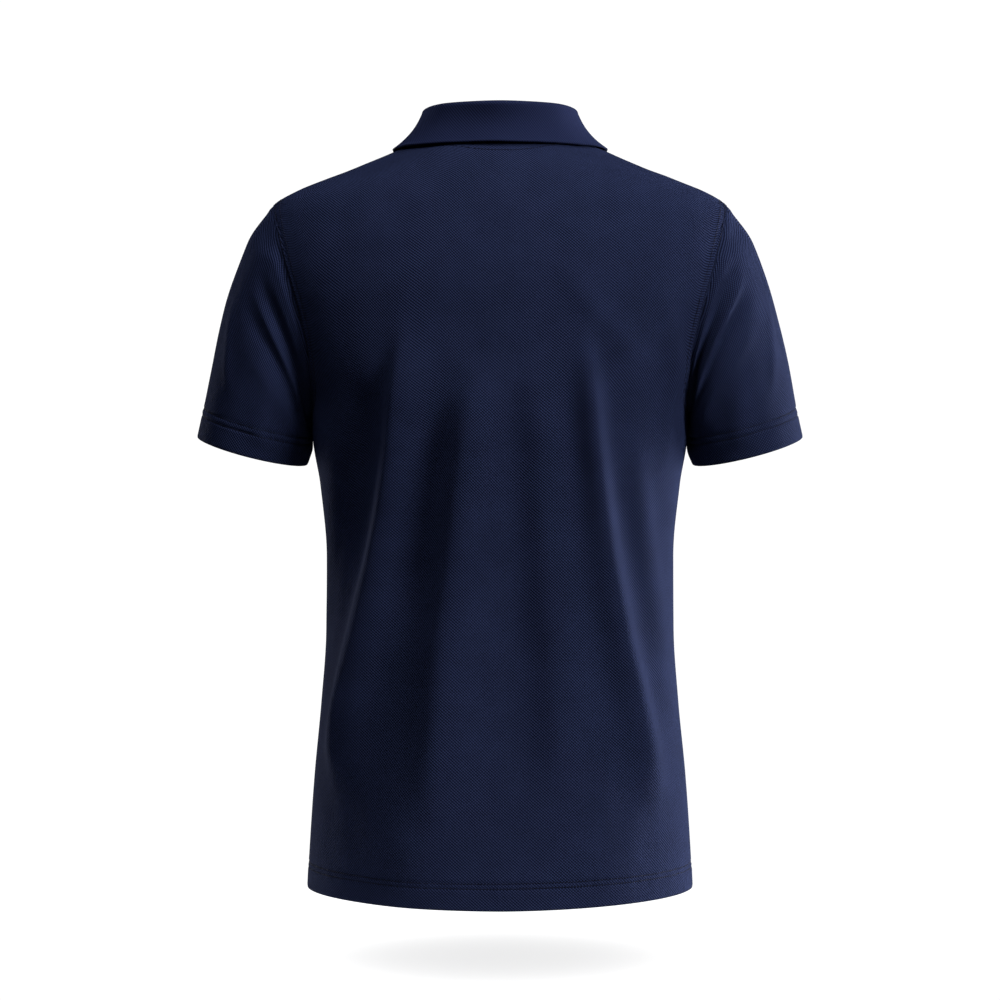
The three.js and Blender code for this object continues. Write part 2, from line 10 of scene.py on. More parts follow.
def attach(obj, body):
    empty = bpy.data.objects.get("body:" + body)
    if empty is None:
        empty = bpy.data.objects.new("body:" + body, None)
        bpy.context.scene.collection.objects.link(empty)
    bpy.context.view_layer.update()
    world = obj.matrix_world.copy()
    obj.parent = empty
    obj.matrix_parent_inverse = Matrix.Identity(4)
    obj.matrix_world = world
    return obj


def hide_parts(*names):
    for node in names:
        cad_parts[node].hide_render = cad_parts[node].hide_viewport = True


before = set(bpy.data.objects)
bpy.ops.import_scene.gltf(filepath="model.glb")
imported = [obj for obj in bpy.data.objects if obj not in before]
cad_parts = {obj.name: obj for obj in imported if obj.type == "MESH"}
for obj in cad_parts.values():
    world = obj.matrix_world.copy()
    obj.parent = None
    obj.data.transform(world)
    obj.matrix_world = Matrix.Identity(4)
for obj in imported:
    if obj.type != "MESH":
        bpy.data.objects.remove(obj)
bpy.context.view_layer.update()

bl_info = {
    "name": "Polo shirt",
    "version": (1, 0, 0),
    "blender": (4, 5, 0),
    "location": "3D View > Sidebar > Polo shirt",
    "description": "Builds the cloth, sewing and studio of a knitted polo shirt round its frame",
    "category": "Object",
}

# Every table is in millimetres, in the frame's own axes: the back faces +Y, the wearer's left is +X.
MM = 0.001

HEM = -714
UNDERARM = -258
SHOULDER = -62
NECK = {"half": 78, "back": 62, "front": 80}
ARMHOLE = {"back": 30, "front": 30, "roundness": 0.4, "height": 0.8}

# Half width of the body by height
WIDTHS = [
    {"z": -714, "half": 184.5},
    {"z": -674, "half": 182.4},
    {"z": -605, "half": 177.6},
    {"z": -536, "half": 170.9},
    {"z": -467, "half": 166.4},
    {"z": -398, "half": 166.0},
    {"z": -329, "half": 172},
    {"z": -286, "half": 179},
    {"z": -258, "half": 180},
    {"z": -215, "half": 193},
    {"z": -180, "half": 208},
    {"z": -150, "half": 220},
    {"z": -120, "half": 228},
    {"z": -95, "half": 230},
    {"z": -76, "half": 226.5},
    {"z": -62, "half": 217},
    {"z": -50, "half": 197},
    {"z": -29, "half": 143.5},
    {"z": -10, "half": 99},
    {"z": 0, "half": 78},
    {"z": 10, "half": 60},
]

# Depth behind and before the side line by height, and squareness of the section: 2 is an ellipse
DEPTHS = [
    {"z": -714, "back": 129, "front": 121, "square": 1.82},
    {"z": -620, "back": 117, "front": 117, "square": 2.0},
    {"z": -540, "back": 108, "front": 114, "square": 2.15},
    {"z": -460, "back": 103, "front": 112, "square": 2.2},
    {"z": -380, "back": 105, "front": 114, "square": 2.2},
    {"z": -300, "back": 110, "front": 120, "square": 2.25},
    {"z": -220, "back": 114, "front": 123, "square": 2.3},
    {"z": -160, "back": 112, "front": 115, "square": 2.3},
    {"z": -110, "back": 105, "front": 95, "square": 2.25},
    {"z": -85, "back": 99, "front": 80, "square": 2.15},
    {"z": -55, "back": 89, "front": 71, "square": 2.05},
    {"z": -30, "back": 76, "front": 61, "square": 2},
    {"z": -11, "back": 62, "front": 52, "square": 2},
    {"z": 10, "back": 44, "front": 40, "square": 2},
]

# Folds: side to side place at three heights, reach to the inner and outer side, and height.
# A negative height is a trough. A fold that is worn outward falls off fast on its outer side.
BACK_FOLDS = [
    {"z0": -200, "x0": 88, "z1": -380, "x1": 112, "z2": -575, "x2": 151, "inner": 26, "outer": 10, "raise": 15},
    {"z0": -235, "x0": 22, "z1": -380, "x1": 41, "z2": -600, "x2": 56, "inner": 40, "outer": 21, "raise": 18},
    {"z0": -240, "x0": 26, "z1": -340, "x1": 31, "z2": -440, "x2": 42, "inner": 24, "outer": 20, "raise": 5},
    {"z0": -380, "x0": 120, "z1": -472, "x1": 139, "z2": -575, "x2": 156, "inner": 6, "outer": 8, "raise": 4},
    {"z0": -230, "x0": -34, "z1": -371, "x1": -42, "z2": -600, "x2": -58, "inner": 19, "outer": 32, "raise": 8},
    {"z0": -200, "x0": -75, "z1": -380, "x1": -96, "z2": -600, "x2": -141, "inner": 17, "outer": 12, "raise": 13},
    {"z0": -165, "x0": -158, "z1": -225, "x1": -165, "z2": -290, "x2": -160, "inner": 10, "outer": 8, "raise": 4},
    {"z0": -300, "x0": -128, "z1": -380, "x1": -137, "z2": -480, "x2": -152, "inner": 12, "outer": 10, "raise": 4},
    {"z0": -250, "x0": 126, "z1": -330, "x1": 134, "z2": -430, "x2": 146, "inner": 18, "outer": 18, "raise": -10},
    {"z0": -200, "x0": -66, "z1": -270, "x1": -70, "z2": -350, "x2": -78, "inner": 14, "outer": 9, "raise": -4},
    {"z0": -430, "x0": 60, "z1": -540, "x1": 71, "z2": -700, "x2": 78, "inner": 46, "outer": 42, "raise": 11},
    {"z0": -250, "x0": 18, "z1": -420, "x1": 20, "z2": -600, "x2": 24, "inner": 110, "outer": 110, "raise": -7},
    {"z0": -110, "x0": 60, "z1": -160, "x1": 84, "z2": -210, "x2": 118, "inner": 16, "outer": 16, "raise": 2},
    {"z0": -120, "x0": -50, "z1": -170, "x1": -86, "z2": -220, "x2": -126, "inner": 16, "outer": 18, "raise": 2.5},
]
FRONT_FOLDS = [
    {"z0": -215, "x0": 118, "z1": -330, "x1": 104, "z2": -480, "x2": 84, "inner": 14, "outer": 20, "raise": 8},
    {"z0": -290, "x0": 52, "z1": -400, "x1": 60, "z2": -580, "x2": 78, "inner": 26, "outer": 14, "raise": 7},
    {"z0": -300, "x0": -22, "z1": -430, "x1": -28, "z2": -600, "x2": -24, "inner": 17, "outer": 24, "raise": 6},
    {"z0": -215, "x0": -116, "z1": -320, "x1": -98, "z2": -450, "x2": -72, "inner": 13, "outer": 20, "raise": 8},
    {"z0": -330, "x0": -128, "z1": -420, "x1": -134, "z2": -560, "x2": -126, "inner": 20, "outer": 11, "raise": 7},
    {"z0": -240, "x0": 96, "z1": -340, "x1": 84, "z2": -430, "x2": 70, "inner": 8, "outer": 8, "raise": -3},
    {"z0": -240, "x0": -98, "z1": -330, "x1": -82, "z2": -420, "x2": -62, "inner": 8, "outer": 8, "raise": -3},
]
FOLD_LIMIT = {"low": 86, "high": 70, "fade": 14}

# Sleeve: cuff's middle, radius and lean, and how far the cloth keeps its heading at either end
CUFF = {"x": 238.5, "y": -10, "z": -296, "radius": 54.4, "out": 15, "forward": 8}
SLEEVE_PULL = {"shoulder": 0.86, "underarm": 0.45, "cuff": 0.8}
SLEEVE_HEAD = 6

# Folds down the sleeve: degrees round from the shoulder by way of the back, at two places down it
SLEEVE_FOLDS = [
    {"turn0": 33, "down0": 0.42, "turn1": 52, "down1": 0.67, "width": 7, "raise": 1.8},
    {"turn0": 96, "down0": 0.55, "turn1": 100, "down1": 0.95, "width": 12, "raise": 2.5},
    {"turn0": 250, "down0": 0.4, "turn1": 266, "down1": 0.85, "width": 14, "raise": 4},
    {"turn0": 318, "down0": 0.35, "turn1": 304, "down1": 0.8, "width": 11, "raise": 3},
]

# Creases round the sleeve: distance from the armhole at two places round it, then half width and height
SLEEVE_CREASES = [
    {"turn0": 56, "from0": 41, "turn1": 150, "from1": 21, "width": 5, "raise": 4.6},
    {"turn0": 60, "from0": 25, "turn1": 165, "from1": 11, "width": 8, "raise": -6.5},
    {"turn0": 55, "from0": 55, "turn1": 150, "from1": 28, "width": 8, "raise": -3},
    {"turn0": 65, "from0": 78, "turn1": 150, "from1": 42, "width": 9, "raise": 3},
    {"turn0": 205, "from0": 14, "turn1": 305, "from1": 34, "width": 6, "raise": 4.5},
    {"turn0": 195, "from0": 6, "turn1": 290, "from1": 17, "width": 5.5, "raise": -4},
    {"turn0": 210, "from0": 34, "turn1": 290, "from1": 76, "width": 10, "raise": 3.5},
]

COLLAR_END = 0.8

# Collar: neck side of the stand's top, then the leaf's outer edge, by degrees from the centre back
COLLAR = [
    {"turn": -45, "topX": -48, "topY": 42.5, "topZ": 25, "edgeX": -72, "edgeY": 48.5, "edgeZ": -10.5},
    {"turn": 0, "topX": 0, "topY": 59, "topZ": 24, "edgeX": 0, "edgeY": 68.5, "edgeZ": -10.8},
    {"turn": 45, "topX": 48, "topY": 42.5, "topZ": 25, "edgeX": 72, "edgeY": 48.5, "edgeZ": -10.5},
    {"turn": 90, "topX": 67.5, "topY": 0, "topZ": 26, "edgeX": 103, "edgeY": 0, "edgeZ": -8},
    {"turn": 120, "topX": 60, "topY": -35, "topZ": 11, "edgeX": 99, "edgeY": -44, "edgeZ": -23},
    {"turn": 150, "topX": 35, "topY": -62, "topZ": -35, "edgeX": 80, "edgeY": -88, "edgeZ": -82},
    {"turn": 180, "topX": COLLAR_END, "topY": -76, "topZ": -71, "edgeX": 47, "edgeY": -108, "edgeZ": -146},
]
COLLAR_ROLL = 3.8
COLLAR_HOLLOW = 4
COLLAR_LEAF_GAP = 2.9

PLACKET = {"slit": 13, "half": 16.5, "top": -85, "bottom": -232, "overlap": 7, "lift": 0.7}
BUTTON = {"radius": 5.6, "thick": 2.4, "first": -99, "pitch": 44, "count": 3}

# Places of the twin rows of stitching, as distances from the edge that they follow
HEM_ROWS = (19.6, 24.4)
CUFF_ROWS = (22, 28.5)
ARMHOLE_ROWS = (2.6, 8.6)
NECK_ROWS = (8.5,)


def linear(code):
    """Linear colour of an sRGB hex value."""
    channels = [((code >> shift) & 255) / 255 for shift in (16, 8, 0)]
    return tuple(c / 12.92 if c <= 0.04045 else ((c + 0.055) / 1.055) ** 2.4 for c in channels)


# Navy fibres give the cloth's faint sheen their own colour.
SHEEN = (*linear(0x7080C8), 1)


def lerp(a, b, t):
    return a + (b - a) * t


def clamp(x, low, high):
    return max(low, min(high, x))


def smooth(x, low, high):
    t = clamp((x - low) / (high - low), 0, 1)
    return t * t * (3 - 2 * t)


def bell(distance, width):
    return math.exp(-((distance / width) ** 2))


def curve_through(rows, start, end):
    """A smooth curve through one column of a table, with no overshoot between the rows."""
    xs = [row[start] for row in rows]
    ys = [row[end] for row in rows]
    secants = [(ys[i + 1] - ys[i]) / (xs[i + 1] - xs[i]) for i in range(len(xs) - 1)]
    slopes = []
    for i in range(len(xs)):
        before = secants[max(i - 1, 0)]
        after = secants[min(i, len(secants) - 1)]
        slopes.append(2 * before * after / (before + after) if before * after > 0 else 0)

    def value(x):
        at = clamp(x, xs[0], xs[-1])
        i = 0
        while i < len(secants) - 1 and at > xs[i + 1]:
            i += 1
        span = xs[i + 1] - xs[i]
        t = (at - xs[i]) / span
        ease = t * t * (3 - 2 * t)
        bend = slopes[i] * span * t * (1 - t) * (1 - t) - slopes[i + 1] * span * t * t * (1 - t)
        return lerp(ys[i], ys[i + 1], ease) + bend

    return value


half_width = curve_through(WIDTHS, "z", "half")
back_depth = curve_through(DEPTHS, "z", "back")
front_depth = curve_through(DEPTHS, "z", "front")
squareness = curve_through(DEPTHS, "z", "square")


def depth_of(side, z):
    return back_depth(z) if side > 0 else front_depth(z)


def body_point(side, angle, z):
    """Point of the body's form at an angle from the centre line, on the back (1) or front (-1)."""
    power = 2 / squareness(z)
    x = math.copysign(half_width(z) * abs(math.sin(angle)) ** power, angle)
    y = side * depth_of(side, z) * max(math.cos(angle), 0) ** power
    return Vector((x, y, z))


def angle_at(x, z):
    """The angle at which the form is a given distance from the centre line."""
    return math.asin(clamp(x / half_width(z), 0, 1) ** (squareness(z) / 2))


def outside(point):
    """Above zero outside the body's form, below zero inside."""
    n = squareness(point.z)
    across = abs(point.x) / half_width(point.z)
    deep = abs(point.y) / depth_of(point.y, point.z)
    return across ** n + deep ** n - 1


def way_out(point):
    """Steepest way out of the form, as long as the change in outside for each millimetre."""
    step = 0.5
    change = []
    for axis in range(3):
        ahead = point.copy()
        behind = point.copy()
        ahead[axis] += step
        behind[axis] -= step
        change.append((outside(ahead) - outside(behind)) / (2 * step))
    return Vector(change)


def push_clear(point, gap):
    """Moves a point straight out of the form until it is at least a gap clear of it."""
    for _ in range(6):
        slope = way_out(point)
        distance = outside(point) / slope.length
        if distance < gap:
            point = point + slope.normalized() * (gap - distance)
    return point


def height_over(x, y):
    """Height of the form over a point of the plan."""
    low, high = UNDERARM, 5
    for _ in range(32):
        middle = (low + high) / 2
        if outside(Vector((x, y, middle))) < 0:
            low = middle
        else:
            high = middle
    return low


def neck_point(side, turn):
    """Point of the neck curve at an angle from the centre line."""
    x = NECK["half"] * math.sin(turn)
    y = side * (NECK["back"] if side > 0 else NECK["front"]) * math.cos(turn)
    return Vector((x, y, height_over(x, y)))


def armhole_bite(side, z):
    """The angle that the armhole takes from one side of a panel at a height."""
    if z >= SHOULDER or z <= UNDERARM:
        return 0
    t = (SHOULDER - z) / (SHOULDER - UNDERARM)
    bite = ARMHOLE["back"] if side > 0 else ARMHOLE["front"]
    return math.radians(bite) * math.sin(math.pi * t ** ARMHOLE["height"]) ** ARMHOLE["roundness"]


def with_paths(folds):
    """Each fold with its path, as a curve of side to side place by height."""
    ready = []
    for fold in folds:
        rows = [{"z": fold["z" + end], "x": fold["x" + end]} for end in "210"]
        ready.append((fold, curve_through(rows, "z", "x")))
    return ready


def fold_raise(folds, x, z):
    """How much the folds raise a panel at a place."""
    total = 0
    for fold, path in folds:
        reach = (fold["z0"] - fold["z2"]) * 0.2
        if fold["z2"] - 2 * reach < z < fold["z0"] + 2 * reach:
            run = smooth(z, fold["z2"] - 60, fold["z2"] + 50) * (1 - smooth(z, fold["z0"] - 60, fold["z0"] + 30))
            middle = path(z)
            outward = (x - middle) * math.copysign(1, middle)
            total += fold["raise"] * run * bell(outward, fold["outer" if outward > 0 else "inner"])
    angle = angle_at(abs(x), z)
    limit = lerp(FOLD_LIMIT["low"], FOLD_LIMIT["high"], smooth(z, -430, -300))
    fade = smooth(math.degrees(angle), limit - FOLD_LIMIT["fade"], limit)
    return total * (1 - fade)


def slack(point, scale, seed):
    """Slow unevenness of hanging cloth, between about -1 and 1."""
    place = Vector((point.x / scale, point.y / scale, point.z / (scale * 1.9))) + Vector((seed, 0, 0))
    return noise.noise(place)


def panel_rows(props):
    """Heights of a panel's rows, in its middle and at its side edge.

    The rows are closest together in the hem, where stitching is. At the edge they are also close
    together where the armhole runs almost level.
    """
    fine, plain = props.sewn_step / MM, props.cloth_step / MM
    rows = []
    z = HEM
    while z < HEM + HEM_ROWS[-1] + 5:
        rows.append((z, z))
        z += fine
    start = rows.pop()[0]
    count = round((UNDERARM - start) / plain)
    rows += [(lerp(start, UNDERARM, i / count),) * 2 for i in range(count)]
    count = round((SHOULDER - UNDERARM) / plain)
    for i in range(count):
        even = i / count
        eased = (1 - math.cos(math.pi * even)) / 2
        rows.append((lerp(UNDERARM, SHOULDER, even), lerp(UNDERARM, SHOULDER, lerp(even, eased, 0.7))))
    count = round(-SHOULDER / plain * 1.6)
    rows += [(lerp(SHOULDER, 0, i / count),) * 2 for i in range(count + 1)]
    return rows


def panel_shares(props):
    """Places of a panel's columns from -1 to 1: closest together beside the seams."""
    seam_zone = 12
    half_girth = 225
    fine, plain = props.sewn_step / MM, props.cloth_step / MM
    inner = 1 - seam_zone / half_girth
    plain_count = round((half_girth - seam_zone) / plain)
    fine_count = round(seam_zone / fine)
    half = [inner * i / plain_count for i in range(plain_count)]
    half += [lerp(inner, 1, i / fine_count) for i in range(fine_count + 1)]
    return [-s for s in reversed(half[1:])] + half


def grid_mesh(rows, columns):
    """A flat grid as a bmesh, with its vertices sorted into rows and columns."""
    bm = bmesh.new()
    bmesh.ops.create_grid(bm, x_segments=columns - 1, y_segments=rows - 1, size=1)
    grid = [[None] * columns for _ in range(rows)]
    for vert in bm.verts:
        i = round((vert.co.y + 1) / 2 * (rows - 1))
        j = round((vert.co.x + 1) / 2 * (columns - 1))
        grid[i][j] = vert
    return bm, grid


def lay_out(bm, grid, middle):
    """Writes the cut's own UV map in metres: along each row from a middle column, and up each column."""
    place = {}
    lengths = [0] * len(grid[0])
    for i, row in enumerate(grid):
        across = [0] * len(row)
        for j in range(middle + 1, len(row)):
            across[j] = across[j - 1] + (row[j].co - row[j - 1].co).length
        for j in range(middle - 1, -1, -1):
            across[j] = across[j + 1] - (row[j].co - row[j + 1].co).length
        for j, vert in enumerate(row):
            if i:
                step = vert.co - grid[i - 1][j].co
                along = (row[min(j + 1, len(row) - 1)].co - row[max(j - 1, 0)].co).normalized()
                lengths[j] += (step - along * step.dot(along)).length
            place[vert] = (across[j], lengths[j])
    layer = bm.loops.layers.uv.new("cut")
    for face in bm.faces:
        for loop in face.loops:
            loop[layer].uv = place[loop.vert]


def cloth_object(name, bm, props, material, thickness=None):
    """Makes the piece's object and gives its cloth a wall on the inner side."""
    for face in bm.faces:
        face.smooth = True
    mesh = bpy.data.meshes.new(name)
    bm.to_mesh(mesh)
    piece = bpy.data.objects.new(name, mesh)
    bpy.context.scene.collection.objects.link(piece)
    mesh.materials.append(material)
    wall = piece.modifiers.new("cloth", "SOLIDIFY")
    wall.thickness = thickness or props.cloth_thickness
    wall.offset = -1
    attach(piece, "root")
    return piece


def panel_form(side, props, folds, seed):
    """One panel's outer face, from the body's form, its folds and its sewn edges."""
    heights = panel_rows(props)
    shares = panel_shares(props)
    bm, grid = grid_mesh(len(heights), len(shares))
    necks = []
    for share in shares:
        necks.append(neck_point(side, abs(share) * math.pi / 2))
    neck_angles = [angle_at(abs(neck.x), neck.z) for neck in necks]
    for i, (level, edge) in enumerate(heights):
        bite = armhole_bite(side, edge)
        for j, share in enumerate(shares):
            height = lerp(level, edge, abs(share) ** 6)
            rise = max((height - UNDERARM) / -UNDERARM, 0)
            z = height if height <= UNDERARM else lerp(UNDERARM, necks[j].z, rise)
            way = 0.82 * abs(share) + 0.18 * abs(share) ** 3
            plain = way * math.pi / 2 - bite * abs(share) ** 3
            angle = lerp(plain, neck_angles[j], smooth(height, SHOULDER - 30, 0))
            point = body_point(side, math.copysign(angle, -side * share), z)
            point.y = side * max(side * point.y, 0)
            grid[i][j].co = point
    bm.normal_update()
    edges = edge_lengths(grid)
    for i, row in enumerate(grid):
        for j, vert in enumerate(row):
            point = vert.co
            from_hem = point.z - HEM
            from_side = edges[i][j]
            lift = fold_raise(folds, point.x, point.z)
            calm = smooth(from_side, 0, 30) * smooth(from_hem, 0, 45)
            lift += calm * (1.5 * slack(point, 62, seed) + 0.55 * slack(point, 24, seed + 7))
            lift += hem_form(point, from_hem)
            lift -= 0.9 * bell(from_side, 1.6)
            if UNDERARM < heights[i][1] < SHOULDER:
                for row_at in ARMHOLE_ROWS:
                    lift -= 1.0 * bell(from_side - row_at, 1.2)
                lift += 0.5 * bell(from_side - 5.6, 2)
            vert.co = point + vert.normal * lift
    return bm, grid, heights


def edge_lengths(grid):
    """Distance of each vertex from the nearer side edge, along its row."""
    result = []
    for row in grid:
        left = [0]
        for j in range(1, len(row)):
            left.append(left[-1] + (row[j].co - row[j - 1].co).length)
        result.append([min(a, left[-1] - a) for a in left])
    return result


def column_lengths(grid):
    """Distance of each vertex from its column's first one, along the column."""
    result = [[0] * len(grid[0])]
    for before, row in zip(grid, grid[1:]):
        result.append([way + (b.co - a.co).length for way, a, b in zip(result[-1], before, row)])
    return result


def hem_form(point, from_edge):
    """Turned-up hem: a little fuller than the cloth above, grooved and puckered at its stitching."""
    if from_edge > HEM_ROWS[-1] + 8:
        return 0
    fuller = 0.45 * (1 - smooth(from_edge, HEM_ROWS[0] - 1, HEM_ROWS[1] + 2))
    grooves = sum(0.9 * bell(from_edge - row, 1.1) for row in HEM_ROWS)
    angle = math.atan2(point.y, point.x)
    pucker = noise.noise(Vector((angle * 34, from_edge / 30, 3))) * 0.6
    pucker += noise.noise(Vector((angle * 90, from_edge / 12, 9))) * 0.35
    near = bell(from_edge - sum(HEM_ROWS) / 2, 9)
    tuck = 2.6 * abs(math.sin(angle)) * (1 - smooth(from_edge, 0, 32))
    return fuller - tuck - grooves + pucker * near - 0.5 * bell(from_edge, 1.4)


def to_metres(bm):
    bmesh.ops.scale(bm, vec=(MM, MM, MM), verts=bm.verts)


def add_node(tree, kind, settings=None, links=None):
    """Adds a node, sets its properties or sockets, and links other nodes' outputs to its sockets."""
    node = tree.nodes.new(kind)
    for key, value in (settings or {}).items():
        if isinstance(key, str) and hasattr(node, key):
            setattr(node, key, value)
        else:
            node.inputs[key].default_value = value
    for key, output in (links or {}).items():
        tree.links.new(output, node.inputs[key])
    return node


def new_material(name):
    material = bpy.data.materials.new(name)
    material.use_nodes = True
    material.node_tree.nodes.clear()
    return material


def finish_material(material, shader):
    add_node(material.node_tree, "ShaderNodeOutputMaterial", links={"Surface": shader.outputs[0]})
    return material


def math_node(tree, operation, first, second=None):
    """A maths step between node outputs and plain numbers."""
    node = tree.nodes.new("ShaderNodeMath")
    node.operation = operation
    for socket, value in zip(node.inputs, (first, second)):
        if value is None:
            continue
        if isinstance(value, bpy.types.NodeSocket):
            tree.links.new(value, socket)
        else:
            socket.default_value = value
    return node.outputs[0]


def cotton_pique(props):
    """Knitted cotton pique, dyed navy: matt, with raised diamonds between crossing furrows, and painted shade that
    darkens the furrows.

    The real cells are about 1.3 mm. They are drawn at the pitch in the sizes, so that they show.
    """
    material = new_material("cotton_pique_navy")
    tree = material.node_tree
    cut = add_node(tree, "ShaderNodeUVMap", {"uv_map": "cut"})
    axes = add_node(tree, "ShaderNodeSeparateXYZ", links={"Vector": cut.outputs["UV"]})
    across = math_node(tree, "MULTIPLY", axes.outputs["X"], math.pi / props.pique_pitch)
    upward = math_node(tree, "MULTIPLY", axes.outputs["Y"], math.pi / (props.pique_pitch * 0.9))
    rising = math_node(tree, "ABSOLUTE", math_node(tree, "SINE", math_node(tree, "ADD", across, upward)))
    falling = math_node(tree, "ABSOLUTE", math_node(tree, "SINE", math_node(tree, "SUBTRACT", across, upward)))
    cells = math_node(tree, "MULTIPLY", rising, math_node(tree, "ADD", math_node(tree, "MULTIPLY", falling, 0.6), 0.4))
    fuzz = add_node(
        tree, "ShaderNodeTexNoise", {"Scale": 900.0, "Detail": 2.0, "Roughness": 0.6}, {"Vector": cut.outputs["UV"]}
    )
    dye = add_node(
        tree, "ShaderNodeTexNoise", {"Scale": 26.0, "Detail": 3.0, "Roughness": 0.55}, {"Vector": cut.outputs["UV"]}
    )
    uneven = math_node(tree, "ADD", dye.outputs["Fac"], math_node(tree, "MULTIPLY", fuzz.outputs["Fac"], 0.5))
    # Colour: painted shade darkens the furrows between the cells, and random dye tone varies it on top.
    shade = math_node(tree, "ADD", math_node(tree, "MULTIPLY", cells, 0.9), math_node(tree, "MULTIPLY", uneven, 0.25))
    colour = add_node(tree, "ShaderNodeValToRGB", links={"Fac": shade})
    colour.color_ramp.elements[0].position = 0.3
    colour.color_ramp.elements[0].color = (*props.pique_furrow_painted_shade, 1)
    colour.color_ramp.elements[1].position = 1.0
    colour.color_ramp.elements[1].color = (*props.pique_face, 1)
    bump = add_node(
        tree, "ShaderNodeBump", {"Strength": 0.8, "Distance": 0.0006}, {"Height": cells}
    )
    shader = add_node(
        tree,
        "ShaderNodeBsdfPrincipled",
        {"Roughness": 0.95, "IOR": 1.47, "Specular IOR Level": 0.02, "Specular Tint": SHEEN, "Sheen Weight": 0.02, "Sheen Roughness": 0.5, "Sheen Tint": SHEEN},
        {"Base Color": colour.outputs["Color"], "Normal": bump.outputs["Normal"]},
    )
    return finish_material(material, shader)


def flat_knit(props):
    """Flat-knitted cotton collar, dyed with the cloth: fine ribs across the collar, softer than pique, with painted
    shade darkening the furrows between the ribs.
    """
    material = new_material("flat_knit_collar_navy")
    tree = material.node_tree
    cut = add_node(tree, "ShaderNodeUVMap", {"uv_map": "cut"})
    axes = add_node(tree, "ShaderNodeSeparateXYZ", links={"Vector": cut.outputs["UV"]})
    across = math_node(tree, "MULTIPLY", axes.outputs["X"], math.pi / props.rib_pitch)
    upward = math_node(tree, "MULTIPLY", axes.outputs["Y"], math.pi / (props.rib_pitch * 1.2))
    ribs = math_node(tree, "ABSOLUTE", math_node(tree, "SINE", math_node(tree, "ADD", across, upward)))
    loops = math_node(tree, "ABSOLUTE", math_node(tree, "SINE", math_node(tree, "SUBTRACT", across, upward)))
    knit = math_node(tree, "MULTIPLY", ribs, math_node(tree, "ADD", math_node(tree, "MULTIPLY", loops, 0.5), 0.5))
    fuzz = add_node(
        tree, "ShaderNodeTexNoise", {"Scale": 900.0, "Detail": 2.0, "Roughness": 0.6}, {"Vector": cut.outputs["UV"]}
    )
    relief = math_node(tree, "ADD", knit, math_node(tree, "MULTIPLY", fuzz.outputs["Fac"], 0.15))
    # Colour: painted shade, darker in the furrows between the ribs.
    colour = add_node(tree, "ShaderNodeValToRGB", links={"Fac": knit})
    colour.color_ramp.elements[0].color = (*props.rib_furrow_painted_shade, 1)
    colour.color_ramp.elements[1].color = (*props.rib_face, 1)
    bump = add_node(
        tree, "ShaderNodeBump", {"Strength": 0.4, "Distance": 0.0003}, {"Height": relief}
    )
    shader = add_node(
        tree,
        "ShaderNodeBsdfPrincipled",
        {"Roughness": 0.95, "IOR": 1.47, "Specular IOR Level": 0.02, "Specular Tint": SHEEN, "Sheen Weight": 0.02, "Sheen Roughness": 0.5, "Sheen Tint": SHEEN},
        {"Base Color": colour.outputs["Color"], "Normal": bump.outputs["Normal"]},
    )
    return finish_material(material, shader)


def sewing_thread(props):
    """Spun polyester sewing thread, dyed to match and twisted, painted far darker than the cloth as the shade of the
    grooves that the stitches sink into.
    """
    material = new_material("spun_polyester_thread_navy")
    tree = material.node_tree
    place = add_node(tree, "ShaderNodeTexCoord")
    twist = add_node(
        tree, "ShaderNodeTexNoise", {"Scale": 2500.0, "Detail": 1.0}, {"Vector": place.outputs["Object"]}
    )
    # Colour: twist streaks between two near-black navies. The darkness is painted shade of the stitch grooves.
    colour = add_node(tree, "ShaderNodeValToRGB", links={"Fac": twist.outputs["Fac"]})
    colour.color_ramp.elements[0].position = 0.3
    colour.color_ramp.elements[0].color = (*props.thread_dark_painted_shade, 1)
    colour.color_ramp.elements[1].position = 0.7
    colour.color_ramp.elements[1].color = (*props.thread_light_painted_shade, 1)
    bump = add_node(
        tree, "ShaderNodeBump", {"Strength": 0.4, "Distance": 0.0001}, {"Height": twist.outputs["Fac"]}
    )
    shader = add_node(
        tree,
        "ShaderNodeBsdfPrincipled",
        {"Roughness": 0.85, "IOR": 1.5, "Specular IOR Level": 0.1},
        {"Base Color": colour.outputs["Color"], "Normal": bump.outputs["Normal"]},
    )
    return finish_material(material, shader)


def moulded_button(props):
    """Cast polyester button, dyed navy: satin, with faint clouding from the casting."""
    material = new_material("cast_polyester_button_navy")
    tree = material.node_tree
    place = add_node(tree, "ShaderNodeTexCoord")
    cloud = add_node(
        tree, "ShaderNodeTexNoise", {"Scale": 260.0, "Detail": 4.0}, {"Vector": place.outputs["Object"]}
    )
    colour = add_node(tree, "ShaderNodeValToRGB", links={"Fac": cloud.outputs["Fac"]})
    colour.color_ramp.elements[0].position = 0.35
    colour.color_ramp.elements[0].color = (*linear(0x101629), 1)
    colour.color_ramp.elements[1].position = 0.75
    colour.color_ramp.elements[1].color = (*linear(0x232C4C), 1)
    bump = add_node(
        tree, "ShaderNodeBump", {"Strength": 0.12, "Distance": 0.0001}, {"Height": cloud.outputs["Fac"]}
    )
    shader = add_node(
        tree,
        "ShaderNodeBsdfPrincipled",
        {"Roughness": 0.32, "IOR": 1.56},
        {"Base Color": colour.outputs["Color"], "Normal": bump.outputs["Normal"]},
    )
    return finish_material(material, shader)


